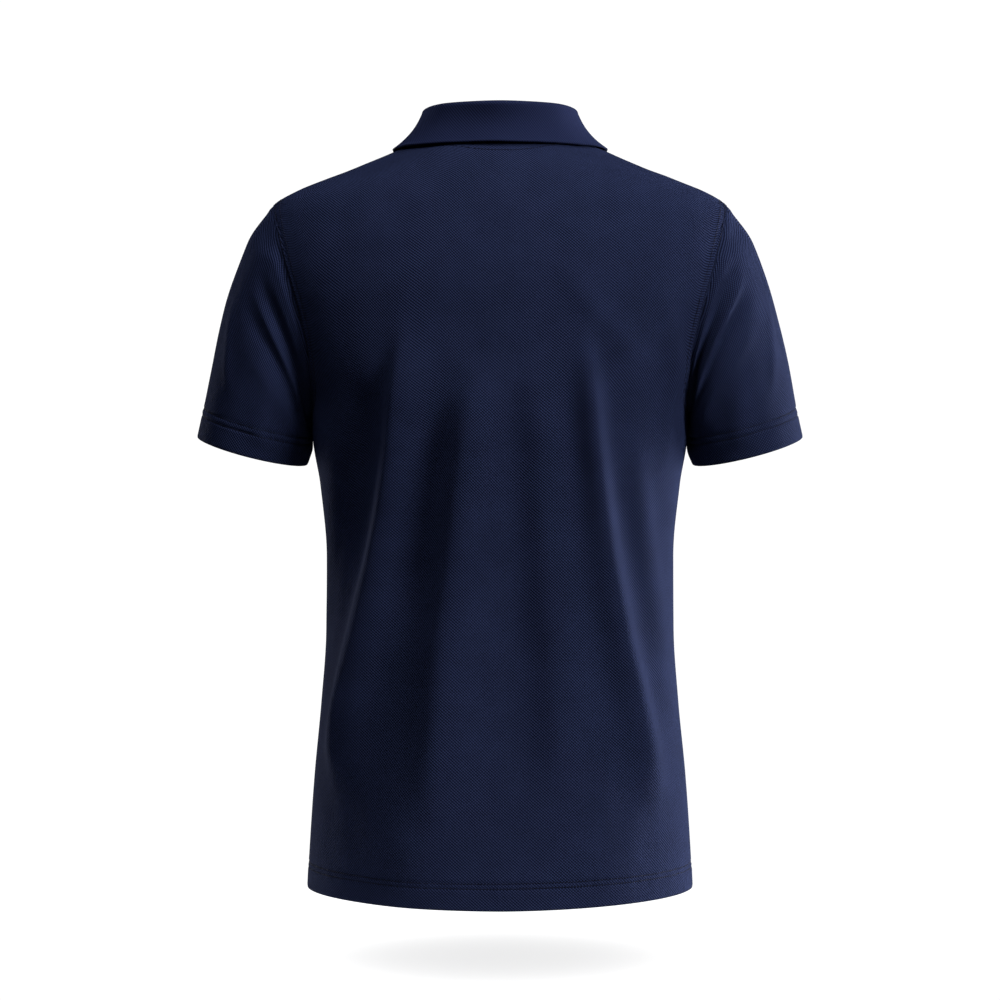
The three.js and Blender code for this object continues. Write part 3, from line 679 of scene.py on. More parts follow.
def light_table():
    """Opal acrylic light table: lit from below, so a shadow on it stays faint."""
    material = new_material("opal_acrylic_lit")
    tree = material.node_tree
    place = add_node(tree, "ShaderNodeTexCoord")
    grain = add_node(tree, "ShaderNodeTexNoise", {"Scale": 3.0}, {"Vector": place.outputs["Object"]})
    colour = add_node(tree, "ShaderNodeValToRGB", links={"Fac": grain.outputs["Fac"]})
    colour.color_ramp.elements[0].color = (*linear(0xF4F4F4), 1)
    colour.color_ramp.elements[1].color = (*linear(0xFAFAFA), 1)
    shader = add_node(
        tree,
        "ShaderNodeBsdfPrincipled",
        {"Roughness": 0.7, "IOR": 1.49, "Specular IOR Level": 0.0, "Emission Color": (1, 1, 1, 1), "Emission Strength": 0.76},
        {"Base Color": colour.outputs["Color"]},
    )
    return finish_material(material, shader)


# What earlier pieces leave for later ones: materials, surfaces to sew on and stitches to make
WORKROOM = {"materials": {}, "surfaces": {}, "threads": []}


def material_of(name, props):
    makers = {"pique": cotton_pique, "rib": flat_knit, "thread": sewing_thread, "button": moulded_button}
    if name not in WORKROOM["materials"]:
        WORKROOM["materials"][name] = makers[name](props)
    return WORKROOM["materials"][name]


def remember_surface(name, bm):
    """Keeps a searchable copy of a piece's outer face, in metres."""
    WORKROOM["surfaces"][name] = BVHTree.FromBMesh(bm)


def armhole_loop(step):
    """The armhole's edge as one loop on the wearer's left: shoulder, back, underarm, front."""
    count = round((SHOULDER - UNDERARM) / step)
    heights = []
    for i in range(count + 1):
        even = i / count
        eased = (1 - math.cos(math.pi * even)) / 2
        heights.append(lerp(SHOULDER, UNDERARM, lerp(even, eased, 0.7)))

    def edge(side, z):
        point = body_point(side, math.pi / 2 - armhole_bite(side, z), z)
        return point, way_out(point).normalized()

    loop = [edge(1, z) for z in heights]
    loop += [edge(-1, z) for z in reversed(heights[1:-1])]
    return loop


def leaving(loop, j):
    """Direction that leaves the panel across the armhole's edge, along the cloth."""
    travel = loop[(j + 1) % len(loop)][0] - loop[j - 1][0]
    return travel.cross(loop[j][1]).normalized()


def evened(vectors, rounds):
    """Directions round a closed loop, each averaged with its neighbours."""
    count = len(vectors)
    for _ in range(rounds):
        vectors = [(vectors[j - 1] + vectors[j] * 2 + vectors[(j + 1) % count]).normalized() for j in range(count)]
    return vectors


def loop_turns(loop):
    """Degrees round the sleeve of each point of the loop: 0 at the shoulder, 180 at the underarm."""
    half = len(loop) // 2
    lengths = [(loop[(j + 1) % len(loop)][0] - loop[j][0]).length for j in range(len(loop))]
    turns = [0.0]
    for j in range(1, len(loop)):
        part = lengths[:half] if j <= half else lengths[half:]
        turns.append(turns[-1] + 180 * lengths[j - 1] / sum(part))
    return turns


def cuff_axes():
    """The cuff's middle, its two axes across and the way down the arm."""
    out, forward = math.radians(CUFF["out"]), math.radians(CUFF["forward"])
    outward = Vector((math.cos(out), 0, math.sin(out)))
    backward = Vector((0, math.cos(forward), -math.sin(forward)))
    down = backward.cross(outward).normalized()
    if down.z > 0:
        down.negate()
    backward = down.cross(outward).normalized()
    if backward.y < 0:
        backward.negate()
    return Vector((CUFF["x"], CUFF["y"], CUFF["z"])), outward, backward, down


def sleeve_fold_raise(turn, down, length, shift, ridge):
    """Height of the folds and creases. Shift moves creases down the arm, ridge scales the raised ones."""
    total = 0
    for crease in SLEEVE_CREASES:
        way = (turn - crease["turn0"]) / (crease["turn1"] - crease["turn0"])
        middle = lerp(crease["from0"], crease["from1"], way) + shift
        run = smooth(way, -0.15, 0.3) * (1 - smooth(way, 0.75, 1.15))
        height = crease["raise"] * (ridge if crease["raise"] > 0 else 1)
        total += height * run * bell(down * length - middle, crease["width"])
    for fold in SLEEVE_FOLDS:
        way = (down - fold["down0"]) / (fold["down1"] - fold["down0"])
        middle = lerp(fold["turn0"], fold["turn1"], way)
        run = smooth(way, -0.3, 0.3) * (1 - smooth(way, 0.8, 1.3))
        total += fold["raise"] * run * bell(turn - middle, fold["width"])
    return total * smooth(down * length, 0, 12) * (1 - smooth(down, 0.8, 0.95))


def sleeve_form(props, seed, shift, ridge):
    """A left sleeve's outer face: rings from the armhole down to the cuff."""
    loop = armhole_loop(props.cloth_step / MM)
    turns = loop_turns(loop)
    middle, outward, backward, down = cuff_axes()
    strands = []
    reaches = []
    leaves = evened([leaving(loop, j) for j in range(len(loop))], 6)
    for j, ((point, normal), leave) in enumerate(zip(loop, leaves)):
        turn = math.radians(turns[j])
        end = middle + outward * (CUFF["radius"] * math.cos(turn)) + backward * (CUFF["radius"] * math.sin(turn))
        start = point + leave * (props.seam_gap / MM)
        top = (1 + math.cos(turn)) / 2
        heading = down + leave * (1.5 * top) + Vector((0.35 * (1 - top), 0.45 * math.sin(turn), 0))
        reach = (end - start).length
        pull = lerp(SLEEVE_PULL["underarm"], SLEEVE_PULL["shoulder"], top) * reach
        strands.append((start, end, heading.normalized() * pull, down * (SLEEVE_PULL["cuff"] * reach)))
        reaches.append(reach)
    length = 240
    fine, plain = props.sewn_step / MM, props.cloth_step / MM
    downs = [0.4 * i / length for i in range(0, 8)]
    start = 3 / length
    hem_start = 1 - (CUFF_ROWS[-1] + 12) / length
    count = round((hem_start - start) * length / plain)
    downs += [lerp(start, hem_start, i / count) for i in range(count)]
    count = round((1 - hem_start) * length / fine)
    downs += [lerp(hem_start, 1, i / count) for i in range(count + 1)]
    order = [(j + len(loop) // 2) % len(loop) for j in range(len(loop) + 1)]
    bm, grid = grid_mesh(len(downs), len(order))
    for i, t in enumerate(reversed(downs)):
        ease = t * t * (3 - 2 * t)
        for j, k in enumerate(order):
            start, end, heading, finish = strands[k]
            point = start * (1 - ease) + end * ease + heading * (t * (1 - t) ** 2) - finish * (t * t * (1 - t))
            grid[i][j].co = point
    bm.normal_update()
    cuff_ways = column_lengths(grid)
    for i, t in enumerate(reversed(downs)):
        for j, k in enumerate(order):
            vert = grid[i][j]
            point = vert.co
            from_cuff = cuff_ways[i][j]
            from_seam = cuff_ways[-1][j] - from_cuff
            normal = vert.normal.copy()
            if j in (0, len(loop)):
                normal = (grid[i][0].normal + grid[i][-1].normal).normalized()
            if from_seam < 8:
                normal = normal.lerp(loop[k][1], bell(from_seam, 4)).normalized()
            lift = sleeve_fold_raise(turns[k], t, reaches[k], shift, ridge)
            calm = smooth(t, 0, 0.12) * (1 - smooth(t, 0.82, 0.95))
            lift += calm * (1.2 * slack(point, 46, seed) + 0.45 * slack(point, 20, seed + 5))
            lift -= 0.9 * bell(from_seam, 2)
            lift += 0.6 * bell(from_seam - 5, 4)
            top = (1 + math.cos(math.radians(turns[k]))) / 2
            rise = lerp(0.2, 0.07, smooth(1 - top, 0.03, 0.25))
            lift += SLEEVE_HEAD * top * smooth(t, 0, rise) * (1 - smooth(t, 0.35, 1))
            lift += 3.3 * bell(turns[k] - 180, 40) * smooth(t, 0.05, 0.5) * (1 - smooth(t, 0.7, 1))
            grooves = sum(0.9 * bell(from_cuff - row, 1.1) for row in CUFF_ROWS)
            swing = math.radians(turns[k])
            ripple = Vector((math.cos(swing) * 4, math.sin(swing) * 4, from_cuff / 16 + seed))
            near = bell(from_cuff - sum(CUFF_ROWS) / 2, 9)
            lift += 0.4 * (1 - smooth(from_cuff, CUFF_ROWS[0] - 1, CUFF_ROWS[1] + 2)) - grooves
            lift += near * (0.5 * noise.noise(ripple) + 0.3 * noise.noise(ripple * 2.7)) - 0.4 * bell(from_cuff, 1.3)
            vert.co = point + normal * lift
    return bm, grid


def collar_section(turn, at):
    """The collar's cloth from the neck seam up the stand, over the roll and down the leaf."""
    side = -1 if turn > 90 else 1
    neck = neck_point(side, math.radians(180 - turn if turn > 90 else turn))
    top = Vector((at["topX"](turn), at["topY"](turn), at["topZ"](turn)))
    edge = Vector((at["edgeX"](turn), at["edgeY"](turn), at["edgeZ"](turn)))
    inward = Vector((-neck.x, -neck.y, 0)).normalized()
    foot = neck + inward * 2 + Vector((0, 0, 0.3))
    if turn > 90:
        foot.x = max(foot.x, COLLAR_END)
    out = Vector((edge.x - top.x, edge.y - top.y, 0)).normalized()
    stand_steps, roll_steps, leaf_steps = 12, 10, 24
    points = [foot.lerp(top, k / stand_steps) for k in range(stand_steps)]
    for k in range(roll_steps + 1):
        angle = math.pi * k / roll_steps
        points.append(top + out * (COLLAR_ROLL * (1 - math.cos(angle))) + Vector((0, 0, COLLAR_ROLL * math.sin(angle))))
    leaf_top = points[-1]
    for k in range(1, leaf_steps + 1):
        way = k / leaf_steps
        point = leaf_top.lerp(edge, way) - out * (COLLAR_HOLLOW * math.sin(math.pi * way))
        over_placket = (1 - smooth(abs(point.x), 19, 27)) * (1 if point.y < 0 else 0)
        point = push_clear(point, COLLAR_LEAF_GAP + over_placket * 2.9)
        surface = WORKROOM["surfaces"]["back" if point.y > 0 else "front"]
        place, normal, _, _ = surface.find_nearest(point * MM)
        short = COLLAR_LEAF_GAP + over_placket * 2.9 - (point - place / MM).dot(normal)
        points.append(point + normal * max(short, 0) * smooth(way, 0, 0.4))
    return points


def collar_form(props):
    """The collar's outer face: the stand's neck side, the roll and the leaf's face."""
    names = ("topX", "topY", "topZ", "edgeX", "edgeY", "edgeZ")
    at = {name: curve_through(COLLAR, "turn", name) for name in names}
    half_steps = 84
    left = [collar_section(180 * i / half_steps, at) for i in range(half_steps + 1)]
    right = [[Vector((-p.x, p.y, p.z)) for p in section] for section in left[1:]]
    sections = list(reversed(right)) + left
    bm, grid = grid_mesh(len(sections[0]), len(sections))
    for j, section in enumerate(sections):
        for i, point in enumerate(section):
            grid[i][j].co = point
    bm.normal_update()
    rows = len(grid)
    for i, row in enumerate(grid):
        leaf = smooth(i, 24, rows - 1)
        for vert in row:
            point = vert.co
            edge_bead = 0.35 * bell(rows - 1 - i, 2.2)
            vert.co = point + vert.normal * (leaf * (0.7 * slack(point, 34, 21) + 0.25 * slack(point, 12, 23)) + edge_bead)
    return bm, grid


def declare(nodes):
    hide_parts(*nodes)


def stitch_row(surface, points, props, phase=0.0):
    """Lays a row of stitches on a surface near a line of points, all in metres."""
    tree = WORKROOM["surfaces"][surface]
    pitch = props.stitch_length
    snapped = []
    for point in points:
        place, normal, _, _ = tree.find_nearest(point)
        snapped.append((place, normal))
    lengths = [0.0]
    for (a, _), (b, _) in zip(snapped, snapped[1:]):
        lengths.append(lengths[-1] + (b - a).length)
    at = pitch * (0.5 + phase)
    k = 0
    while at < lengths[-1] - pitch * 0.4:
        while lengths[k + 1] < at:
            k += 1
        share = (at - lengths[k]) / max(lengths[k + 1] - lengths[k], 1e-9)
        place = snapped[k][0].lerp(snapped[k + 1][0], share)
        normal = snapped[k][1].lerp(snapped[k + 1][1], share).normalized()
        along = (snapped[k + 1][0] - snapped[k][0]).normalized()
        WORKROOM["threads"].append((place, along, normal, pitch * 0.8))
        at += pitch


def one_stitch(thickness):
    """One stitch 1 long: a short rod of thread along Z, with narrowed ends."""
    bm = bmesh.new()
    bmesh.ops.create_cone(
        bm, cap_ends=True, segments=6, radius1=thickness / 2, radius2=thickness / 2, depth=0.6
    )
    for way in (1, -1):
        cap = [face for face in bm.faces if len(face.verts) == 6 and face.normal.z * way > 0.9]
        tip = bmesh.ops.extrude_discrete_faces(bm, faces=cap)["faces"][0]
        for vert in tip.verts:
            vert.co = Vector((vert.co.x * 0.4, vert.co.y * 0.4, way * 0.5))
    return bm


def sew(threads, thickness):
    """Joins a copy of the stitch for every place, sunk a third into the cloth, into one mesh."""
    pattern = one_stitch(thickness)
    pattern.verts.index_update()
    shape = [vert.co.copy() for vert in pattern.verts]
    faces = [[vert.index for vert in face.verts] for face in pattern.faces]
    pattern.free()
    verts = []
    polygons = []
    for place, along, normal, length in threads:
        across = normal.cross(along).normalized()
        upright = along.cross(across).normalized()
        start = len(verts)
        middle = place + normal * (thickness * 0.16)
        verts += [middle + across * co.x + upright * co.y + along * (co.z * length) for co in shape]
        polygons += [[start + index for index in face] for face in faces]
    mesh = bpy.data.meshes.new("sewing_thread")
    mesh.from_pydata(verts, [], polygons)
    mesh.shade_smooth()
    return mesh


class PoloSizes(bpy.types.PropertyGroup):
    """Sizes of the cloth, its knit and its sewing."""

    cloth_thickness: bpy.props.FloatProperty(
        name="Cloth thickness", description="Thickness of the pique", default=0.0013, unit="LENGTH"
    )
    rib_thickness: bpy.props.FloatProperty(
        name="Collar thickness", description="Thickness of the flat knit", default=0.0018, unit="LENGTH"
    )
    cloth_step: bpy.props.FloatProperty(
        name="Cloth step", description="Spacing of the cloth's mesh", default=0.0034, unit="LENGTH"
    )
    sewn_step: bpy.props.FloatProperty(
        name="Sewn step", description="Spacing of the mesh beside seams and hems", default=0.0014, unit="LENGTH"
    )
    seam_gap: bpy.props.FloatProperty(
        name="Seam gap", description="Gap between two pieces at a seam", default=0.0002, unit="LENGTH"
    )
    pique_pitch: bpy.props.FloatProperty(
        name="Pique pitch", description="Width of one cell of the pique as drawn", default=0.003, unit="LENGTH"
    )
    rib_pitch: bpy.props.FloatProperty(
        name="Rib pitch", description="Width of one rib of the collar as drawn", default=0.0026, unit="LENGTH"
    )
    stitch_length: bpy.props.FloatProperty(
        name="Stitch length", description="Length of one stitch with its gap", default=0.0031, unit="LENGTH"
    )
    thread_thickness: bpy.props.FloatProperty(
        name="Thread thickness", description="Thickness of the sewing thread", default=0.0008, unit="LENGTH"
    )
    pique_face: bpy.props.FloatVectorProperty(
        name="Pique face", description="Raised cells of the pique", subtype="COLOR", size=3, default=linear(0x232A46)
    )
    # Painted shade: the furrow colour is far darker than the cloth and stands in for the shade in the knit's furrows.
    pique_furrow_painted_shade: bpy.props.FloatVectorProperty(
        name="Pique furrow", description="Furrows of the pique", subtype="COLOR", size=3, default=linear(0x070912)
    )
    rib_face: bpy.props.FloatVectorProperty(
        name="Rib face", description="Ribs of the collar", subtype="COLOR", size=3, default=linear(0x1E2440)
    )
    # Painted shade: the furrow colour is far darker than the collar and stands in for the shade between the ribs.
    rib_furrow_painted_shade: bpy.props.FloatVectorProperty(
        name="Rib furrow", description="Furrows of the collar", subtype="COLOR", size=3, default=linear(0x080A14)
    )
    # Painted shade: both thread colours are near black and stand in for the shade in the stitch grooves. The twist
    # streaks between them are real.
    thread_light_painted_shade: bpy.props.FloatVectorProperty(
        name="Thread light", description="Light side of the thread", subtype="COLOR", size=3, default=linear(0x0D1128)
    )
    thread_dark_painted_shade: bpy.props.FloatVectorProperty(
        name="Thread dark", description="Dark side of the thread", subtype="COLOR", size=3, default=linear(0x05070F)
    )


class POLO_OT_back(bpy.types.Operator):
    """Back panel in pique, with its main folds and turned hem."""

    bl_idname = "polo.back"
    bl_label = "Back panel"

    def execute(self, context):
        props = context.scene.polo
        bm, grid, _ = panel_form(1, props, with_paths(BACK_FOLDS), 0)
        to_metres(bm)
        lay_out(bm, grid, len(grid[0]) // 2)
        remember_surface("back", bm)
        piece = cloth_object("back_cloth", bm, props, material_of("pique", props))
        bm.free()
        declare(["back_panel"])
        return {"FINISHED"}


class POLO_OT_front(bpy.types.Operator):
    """Front panel in pique, cut open at the neck under the placket."""

    bl_idname = "polo.front"
    bl_label = "Front panel"

    def execute(self, context):
        props = context.scene.polo
        bm, grid, _ = panel_form(-1, props, with_paths(FRONT_FOLDS), 40)
        to_metres(bm)
        lay_out(bm, grid, len(grid[0]) // 2)
        remember_surface("front", bm)
        slit = PLACKET["slit"] * MM
        end = PLACKET["bottom"] * MM
        for place, way in (((slit, 0, 0), (1, 0, 0)), ((-slit, 0, 0), (1, 0, 0)), ((0, 0, end), (0, 0, 1))):
            near = [f for f in bm.faces if abs(f.calc_center_median().x) < 0.03 and f.calc_center_median().z > end - 0.02]
            around = {v for f in near for v in f.verts} | {e for f in near for e in f.edges}
            bmesh.ops.bisect_plane(bm, geom=near + list(around), dist=1e-6, plane_co=place, plane_no=way)
        inside = [
            face for face in bm.faces
            if abs(face.calc_center_median().x) < slit and face.calc_center_median().z > end
        ]
        bmesh.ops.delete(bm, geom=inside, context="FACES")
        piece = cloth_object("front_cloth", bm, props, material_of("pique", props))
        bm.free()
        declare(["front_panel"])
        return {"FINISHED"}


class POLO_OT_sleeves(bpy.types.Operator):
    """Both sleeves in pique, each with its turned hem."""

    bl_idname = "polo.sleeves"
    bl_label = "Sleeves"

    def execute(self, context):
        props = context.scene.polo
        for side, word, seed, shift, ridge in ((1, "left", 80, 12, 0.38), (-1, "right", 60, 0, 1)):
            bm, grid = sleeve_form(props, seed, shift, ridge)
            if side < 0:
                bmesh.ops.scale(bm, vec=(-1, 1, 1), verts=bm.verts)
                bmesh.ops.reverse_faces(bm, faces=bm.faces)
            to_metres(bm)
            lay_out(bm, grid, len(grid[0]) // 2)
            bmesh.ops.remove_doubles(bm, verts=bm.verts, dist=0.00002)
            remember_surface("sleeve_" + word, bm)
            piece = cloth_object(f"sleeve_{word}_cloth", bm, props, material_of("pique", props))
            bm.free()
            declare(["sleeve_" + word])
        return {"FINISHED"}


class POLO_OT_collar(bpy.types.Operator):
    """Flat-knitted collar, folded over on itself."""

    bl_idname = "polo.collar"
    bl_label = "Collar"

    def execute(self, context):
        props = context.scene.polo
        bm, grid = collar_form(props)
        to_metres(bm)
        lay_out(bm, grid, len(grid[0]) // 2)
        remember_surface("collar", bm)
        piece = cloth_object("collar_knit", bm, props, material_of("rib", props), props.rib_thickness)
        bm.free()
        declare(["collar"])
        return {"FINISHED"}


class POLO_OT_placket(bpy.types.Operator):
    """Top and under strip of the placket."""

    bl_idname = "polo.placket"
    bl_label = "Placket"

    def execute(self, context):
        props = context.scene.polo
        low = PLACKET["bottom"] - PLACKET["overlap"]
        out = props.cloth_thickness / MM + PLACKET["lift"]
        self.strip(props, "placket_top", PLACKET["half"], out, low, 60)
        self.strip(props, "placket_under", PLACKET["slit"] - 0.4, 0, PLACKET["bottom"] + 0.6, 50)
        return {"FINISHED"}

    def strip(self, props, node, half, out, bottom, seed):
        """A strip on the front panel's own surface, between two heights and a distance out of it."""
        tree = WORKROOM["surfaces"]["front"]
        rows, columns = 110, 27
        bm, grid = grid_mesh(rows, columns)
        for i, row in enumerate(grid):
            for j, vert in enumerate(row):
                x = half * (2 * j / (columns - 1) - 1)
                neck_z = height_over(abs(x), -math.sqrt(max(0, 1 - (x / NECK["half"]) ** 2)) * NECK["front"])
                z = lerp(bottom, neck_z - 0.4, i / (rows - 1))
                form = Vector((x, -front_depth(z) * (1 - (abs(x) / half_width(z)) ** squareness(z)) ** (1 / squareness(z)), z))
                place, normal, _, _ = tree.find_nearest(form * MM)
                soft = 0.25 * noise.noise(Vector((x / 9, z / 16, seed)))
                edge = min(half - abs(x), z - bottom + 3)
                roll = -0.35 * bell(edge, 0.9) - (0.3 * bell(edge - 2.4, 0.7) if node == "placket_top" else 0)
                vert.co = place + normal * ((out + soft * (1 if node == "placket_top" else 0.3) + roll) * MM)
        lay_out(bm, grid, columns // 2)
        remember_surface(node, bm)
        piece = cloth_object(node + "_cloth", bm, props, material_of("pique", props))
        bm.free()
        declare([node])


class POLO_OT_buttons(bpy.types.Operator):
    """Three four-hole buttons with their thread."""

    bl_idname = "polo.buttons"
    bl_label = "Buttons"

    def execute(self, context):
        props = context.scene.polo
        for k in range(BUTTON["count"]):
            self.button(props, k)
        return {"FINISHED"}

    def button(self, props, k):
        tree = WORKROOM["surfaces"]["placket_top"]
        z = BUTTON["first"] - k * BUTTON["pitch"]
        place = tree.find_nearest(Vector((0, -front_depth(z) - 3, z)) * MM)[0]
        normal = way_out(body_point(-1, 0, z))
        normal = Vector((0, normal.y, normal.z)).normalized()
        radius, thick = BUTTON["radius"] * MM, BUTTON["thick"] * MM
        bm = bmesh.new()
        profile = [
            (0.0, 0.0), (0.8, 0.0), (0.95, 0.12), (1.0, 0.4), (0.98, 0.75), (0.9, 0.97), (0.8, 1.0),
            (0.7, 0.94), (0.62, 0.76), (0.5, 0.68), (0.0, 0.66),
        ]
        verts = [bm.verts.new((r * radius, 0, h * thick)) for r, h in profile]
        edges = [bm.edges.new(pair) for pair in zip(verts, verts[1:])]
        bmesh.ops.spin(
            bm, geom=verts + edges, cent=(0, 0, 0), axis=(0, 0, 1), angle=math.tau, steps=40, use_merge=True
        )
        bmesh.ops.remove_doubles(bm, verts=bm.verts, dist=1e-6)
        bmesh.ops.recalc_face_normals(bm, faces=bm.faces)
        turn = Vector((0, 0, 1)).rotation_difference(normal).to_matrix().to_4x4()
        stand = Matrix.Translation(place + normal * 0.0004) @ turn
        mesh = bpy.data.meshes.new(f"button_{k + 1}_disc")
        disc = bpy.data.objects.new(mesh.name, mesh)
        bm.to_mesh(mesh)
        bm.free()
        bpy.context.scene.collection.objects.link(disc)
        holes = self.hole_cutter(radius, thick)
        cut = disc.modifiers.new("holes", "BOOLEAN")
        cut.object = holes
        cut.operation = "DIFFERENCE"
        cut.solver = "EXACT"
        solid = bpy.data.meshes.new_from_object(disc.evaluated_get(bpy.context.evaluated_depsgraph_get()))
        disc.modifiers.clear()
        disc.data = solid
        bpy.data.objects.remove(holes)
        bpy.data.meshes.remove(mesh)
        solid.name = disc.name
        solid.transform(stand)
        solid.materials.clear()
        solid.materials.append(material_of("button", props))
        solid.shade_smooth()
        solid.set_sharp_from_angle(angle=math.radians(38))
        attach(disc, "root")
        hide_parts(f"button_{k + 1}")
        offset = radius * 0.24
        for x in (-1, 1):
            across = stand @ Vector((x * offset, 0, thick * 0.72))
            along = (turn @ Vector((0, 1, 0))).normalized()
            for shift in (-0.00022, 0.00022):
                side = turn @ Vector((shift, 0, 0))
                WORKROOM["threads"].append((across + side, along, normal, offset * 2.9))
        self.buttonhole(props, place, normal)

    def hole_cutter(self, radius, thick):
        bm = bmesh.new()
        for x in (-1, 1):
            for y in (-1, 1):
                bmesh.ops.create_cone(
                    bm, cap_ends=True, segments=14, radius1=radius * 0.13, radius2=radius * 0.13, depth=thick * 4,
                    matrix=Matrix.Translation((x * radius * 0.24, y * radius * 0.24, 0)),
                )
        mesh = bpy.data.meshes.new("hole_cutter")
        bm.to_mesh(mesh)
        bm.free()
        cutter = bpy.data.objects.new("hole_cutter", mesh)
        bpy.context.scene.collection.objects.link(cutter)
        return cutter

    def buttonhole(self, props, place, normal):
        """Worked buttonhole: close stitches across both sides of an upright slit."""
        half_length = 0.0078
        up = Vector((1, 0, 0)).cross(normal).normalized()
        if up.z < 0:
            up.negate()
        side = Vector((1, 0, 0))
        steps = 22
        tree = WORKROOM["surfaces"]["placket_top"]
        for i in range(steps + 1):
            way = -half_length + 2 * half_length * i / steps
            for x in (-0.0011, 0.0011):
                on, here, _, _ = tree.find_nearest(place + up * way + side * x)
                WORKROOM["threads"].append((on, side, here, 0.0019))


class POLO_OT_sewing(bpy.types.Operator):
    """Rows of stitching on the hem, cuffs, armholes, shoulders, neck and placket."""

    bl_idname = "polo.sewing"
    bl_label = "Sewing"

    def execute(self, context):
        props = context.scene.polo
        self.hems(props)
        self.armholes(props)
        self.neck_and_shoulders(props)
        self.placket(props)
        mesh = sew(WORKROOM["threads"], props.thread_thickness)
        mesh.materials.append(material_of("thread", props))
        piece = bpy.data.objects.new("sewing_thread", mesh)
        bpy.context.scene.collection.objects.link(piece)
        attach(piece, "root")
        return {"FINISHED"}

    def hems(self, props):
        for side, surface in ((1, "back"), (-1, "front")):
            for k, row in enumerate(HEM_ROWS):
                z = HEM + row
                points = [body_point(side, math.radians(a), z) * MM for a in range(-90, 91)]
                stitch_row(surface, points, props, 0.5 * k)
        middle, outward, backward, down = cuff_axes()
        for side, surface in ((1, "sleeve_left"), (-1, "sleeve_right")):
            for k, row in enumerate(CUFF_ROWS):
                points = []
                for a in range(0, 361, 3):
                    turn = math.radians(a)
                    point = middle - down * row
                    point = point + (outward * math.cos(turn) + backward * math.sin(turn)) * CUFF["radius"]
                    points.append(Vector((side * point.x, point.y, point.z)) * MM)
                stitch_row(surface, points, props, 0.5 * k)

    def armholes(self, props):
        loop = armhole_loop(3)
        half = len(loop) // 2
        for mirror in (1, -1):
            for surface, part in (("back", range(1, half)), ("front", range(half + 1, len(loop)))):
                for k, row in enumerate(ARMHOLE_ROWS):
                    points = []
                    for j in part:
                        point = loop[j][0] - leaving(loop, j) * row
                        points.append(Vector((mirror * point.x, point.y, point.z)) * MM)
                    stitch_row(surface, points, props, 0.5 * k)

    def neck_and_shoulders(self, props):
        for row in NECK_ROWS:
            points = []
            for a in range(-86, 87, 2):
                neck = neck_point(1, math.radians(a))
                out = Vector((neck.x / NECK["half"], neck.y / NECK["back"], 0)).normalized()
                x, y = neck.x + out.x * row * 0.8, neck.y + out.y * row * 0.8
                points.append(Vector((x, y, height_over(x, y))) * MM)
            stitch_row("back", points, props)
        for mirror in (1, -1):
            points = []
            for i in range(41):
                z = lerp(-2, SHOULDER + 3, i / 40)
                x = half_width(z)
                points.append(Vector((mirror * x * 0.998, 5, height_over(x * 0.998, 5))) * MM)
            stitch_row("back", points, props)

    def placket(self, props):
        inset = 2.4
        half = PLACKET["half"] - inset
        low = PLACKET["bottom"] - PLACKET["overlap"] + inset
        box = PLACKET["bottom"] + 12
        top = PLACKET["top"] - 3
        lines = [
            [(-half, top), (-half, low)],
            [(half, top), (half, low)],
            [(-half, low), (half, low)],
            [(-half, box), (half, box)],
            [(-half, low), (half, box)],
            [(half, low), (-half, box)],
        ]
        for (x0, z0), (x1, z1) in lines:
            points = []
            for i in range(41):
                x, z = lerp(x0, x1, i / 40), lerp(z0, z1, i / 40)
                points.append(Vector((x, -front_depth(z) - 2, z)) * MM)
            stitch_row("placket_top", points, props)


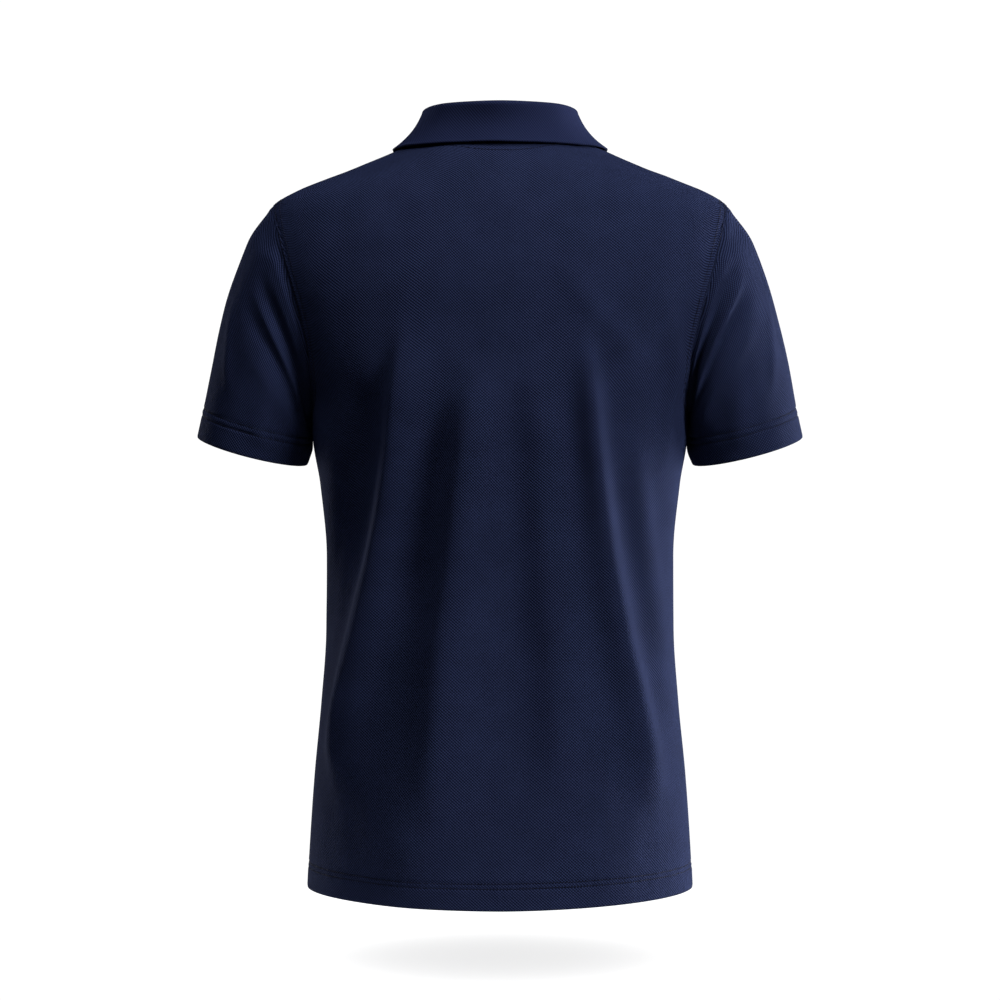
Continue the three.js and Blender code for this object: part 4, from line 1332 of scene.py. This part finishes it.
class POLO_OT_stage(bpy.types.Operator):
    """White floor, soft studio light and the camera behind the shirt.

    The floor has a light of its own from overhead, so that it shows only a soft shadow.
    """

    bl_idname = "polo.stage"
    bl_label = "Stage"

    # Camera: distance behind the side line, height and focal length. The floor lies below the hem.
    DISTANCE = 2.0
    HEIGHT = -0.344
    FOCAL = 75.0
    FLOOR = -0.781

    def execute(self, context):
        self.floor()
        self.camera(context.scene)
        self.lights()
        self.world(context.scene)
        context.scene.view_settings.view_transform = "Standard"
        context.scene.view_settings.look = "None"
        return {"FINISHED"}

    def floor(self):
        bm = bmesh.new()
        bmesh.ops.create_grid(bm, x_segments=8, y_segments=8, size=0.34)
        bmesh.ops.translate(bm, vec=(0, 0, self.FLOOR), verts=bm.verts)
        mesh = bpy.data.meshes.new("floor")
        bm.to_mesh(mesh)
        bm.free()
        mesh.materials.append(light_table())
        floor = bpy.data.objects.new("floor", mesh)
        bpy.context.scene.collection.objects.link(floor)
        self.floor_only = bpy.data.collections.new("floor_only")
        self.all_but_floor = bpy.data.collections.new("all_but_floor")
        for receivers in (self.floor_only, self.all_but_floor):
            receivers.objects.link(floor)
        self.all_but_floor.collection_objects[0].light_linking.link_state = "EXCLUDE"

    def camera(self, scene):
        data = bpy.data.cameras.new("camera")
        data.lens = self.FOCAL
        data.sensor_width = 36.0
        camera = bpy.data.objects.new("camera", data)
        camera.location = (0, self.DISTANCE, self.HEIGHT)
        camera.rotation_euler = (math.radians(90), 0, math.radians(180))
        scene.collection.objects.link(camera)
        scene.camera = camera

    def lights(self):
        self.sun("overhead", 0.7, 80, self.all_but_floor)
        self.sun("floor_wash", 1.8, 150, self.floor_only)
        self.area("key", (-2.2, 1.6, 1.1), (0, 0, -0.2), 0.8, 1.2, 131)
        self.area("right_edge", (-1.6, -0.62, -0.6), (0, 0, -0.5), 0.4, 1.4, 100)
        self.area("left_edge", (1.35, -1.1, -0.7), (0, 0, -0.55), 0.4, 1.2, 27)
        self.area("top", (0.2, 0.8, 1.25), (0, 0, -0.2), 0.8, 0.6, 20)

    def sun(self, name, strength, spread, receivers):
        """Soft light from straight above."""
        data = bpy.data.lights.new(name, "SUN")
        data.energy = strength
        data.angle = math.radians(spread)
        light = bpy.data.objects.new(name, data)
        light.light_linking.receiver_collection = receivers
        bpy.context.scene.collection.objects.link(light)

    def area(self, name, place, target, width, height, power):
        data = bpy.data.lights.new(name, "AREA")
        data.shape = "RECTANGLE"
        data.size = width
        data.size_y = height
        data.energy = power
        light = bpy.data.objects.new(name, data)
        light.location = place
        light.light_linking.receiver_collection = self.all_but_floor
        aim = Vector(target) - Vector(place)
        light.rotation_euler = aim.to_track_quat("-Z", "Y").to_euler()
        bpy.context.scene.collection.objects.link(light)

    def world(self, scene):
        """White behind the shirt, with a weak even light from all round."""
        world = bpy.data.worlds.new("studio")
        world.use_nodes = True
        tree = world.node_tree
        tree.nodes.clear()
        seen = add_node(tree, "ShaderNodeBackground", {"Color": (1, 1, 1, 1), "Strength": 1.05})
        lit = add_node(tree, "ShaderNodeBackground", {"Color": (0.9, 0.94, 1, 1), "Strength": 0.04})
        path = add_node(tree, "ShaderNodeLightPath")
        mix = add_node(
            tree,
            "ShaderNodeMixShader",
            links={0: path.outputs["Is Camera Ray"], 1: lit.outputs[0], 2: seen.outputs[0]},
        )
        add_node(tree, "ShaderNodeOutputWorld", links={"Surface": mix.outputs[0]})
        scene.world = world


class POLO_PT_panel(bpy.types.Panel):
    """Lists the pieces of the polo shirt."""

    bl_idname = "POLO_PT_panel"
    bl_label = "Polo shirt"
    bl_space_type = "VIEW_3D"
    bl_region_type = "UI"
    bl_category = "Polo shirt"

    def draw(self, context):
        layout = self.layout
        for name in PoloSizes.__annotations__:
            layout.prop(context.scene.polo, name)
        for operator in STEPS:
            layout.operator(operator.bl_idname)


STEPS = (
    POLO_OT_back,
    POLO_OT_front,
    POLO_OT_sleeves,
    POLO_OT_collar,
    POLO_OT_placket,
    POLO_OT_buttons,
    POLO_OT_sewing,
    POLO_OT_stage,
)
CLASSES = (PoloSizes, *STEPS, POLO_PT_panel)


def register():
    for cls in CLASSES:
        bpy.utils.register_class(cls)
    bpy.types.Scene.polo = bpy.props.PointerProperty(type=PoloSizes)


def unregister():
    del bpy.types.Scene.polo
    for cls in reversed(CLASSES):
        bpy.utils.unregister_class(cls)


def main():
    register()
    bpy.ops.polo.back()
    bpy.ops.polo.front()
    bpy.ops.polo.sleeves()
    bpy.ops.polo.collar()
    bpy.ops.polo.placket()
    bpy.ops.polo.buttons()
    bpy.ops.polo.sewing()
    bpy.ops.polo.stage()


if __name__ == "__main__":
    main()
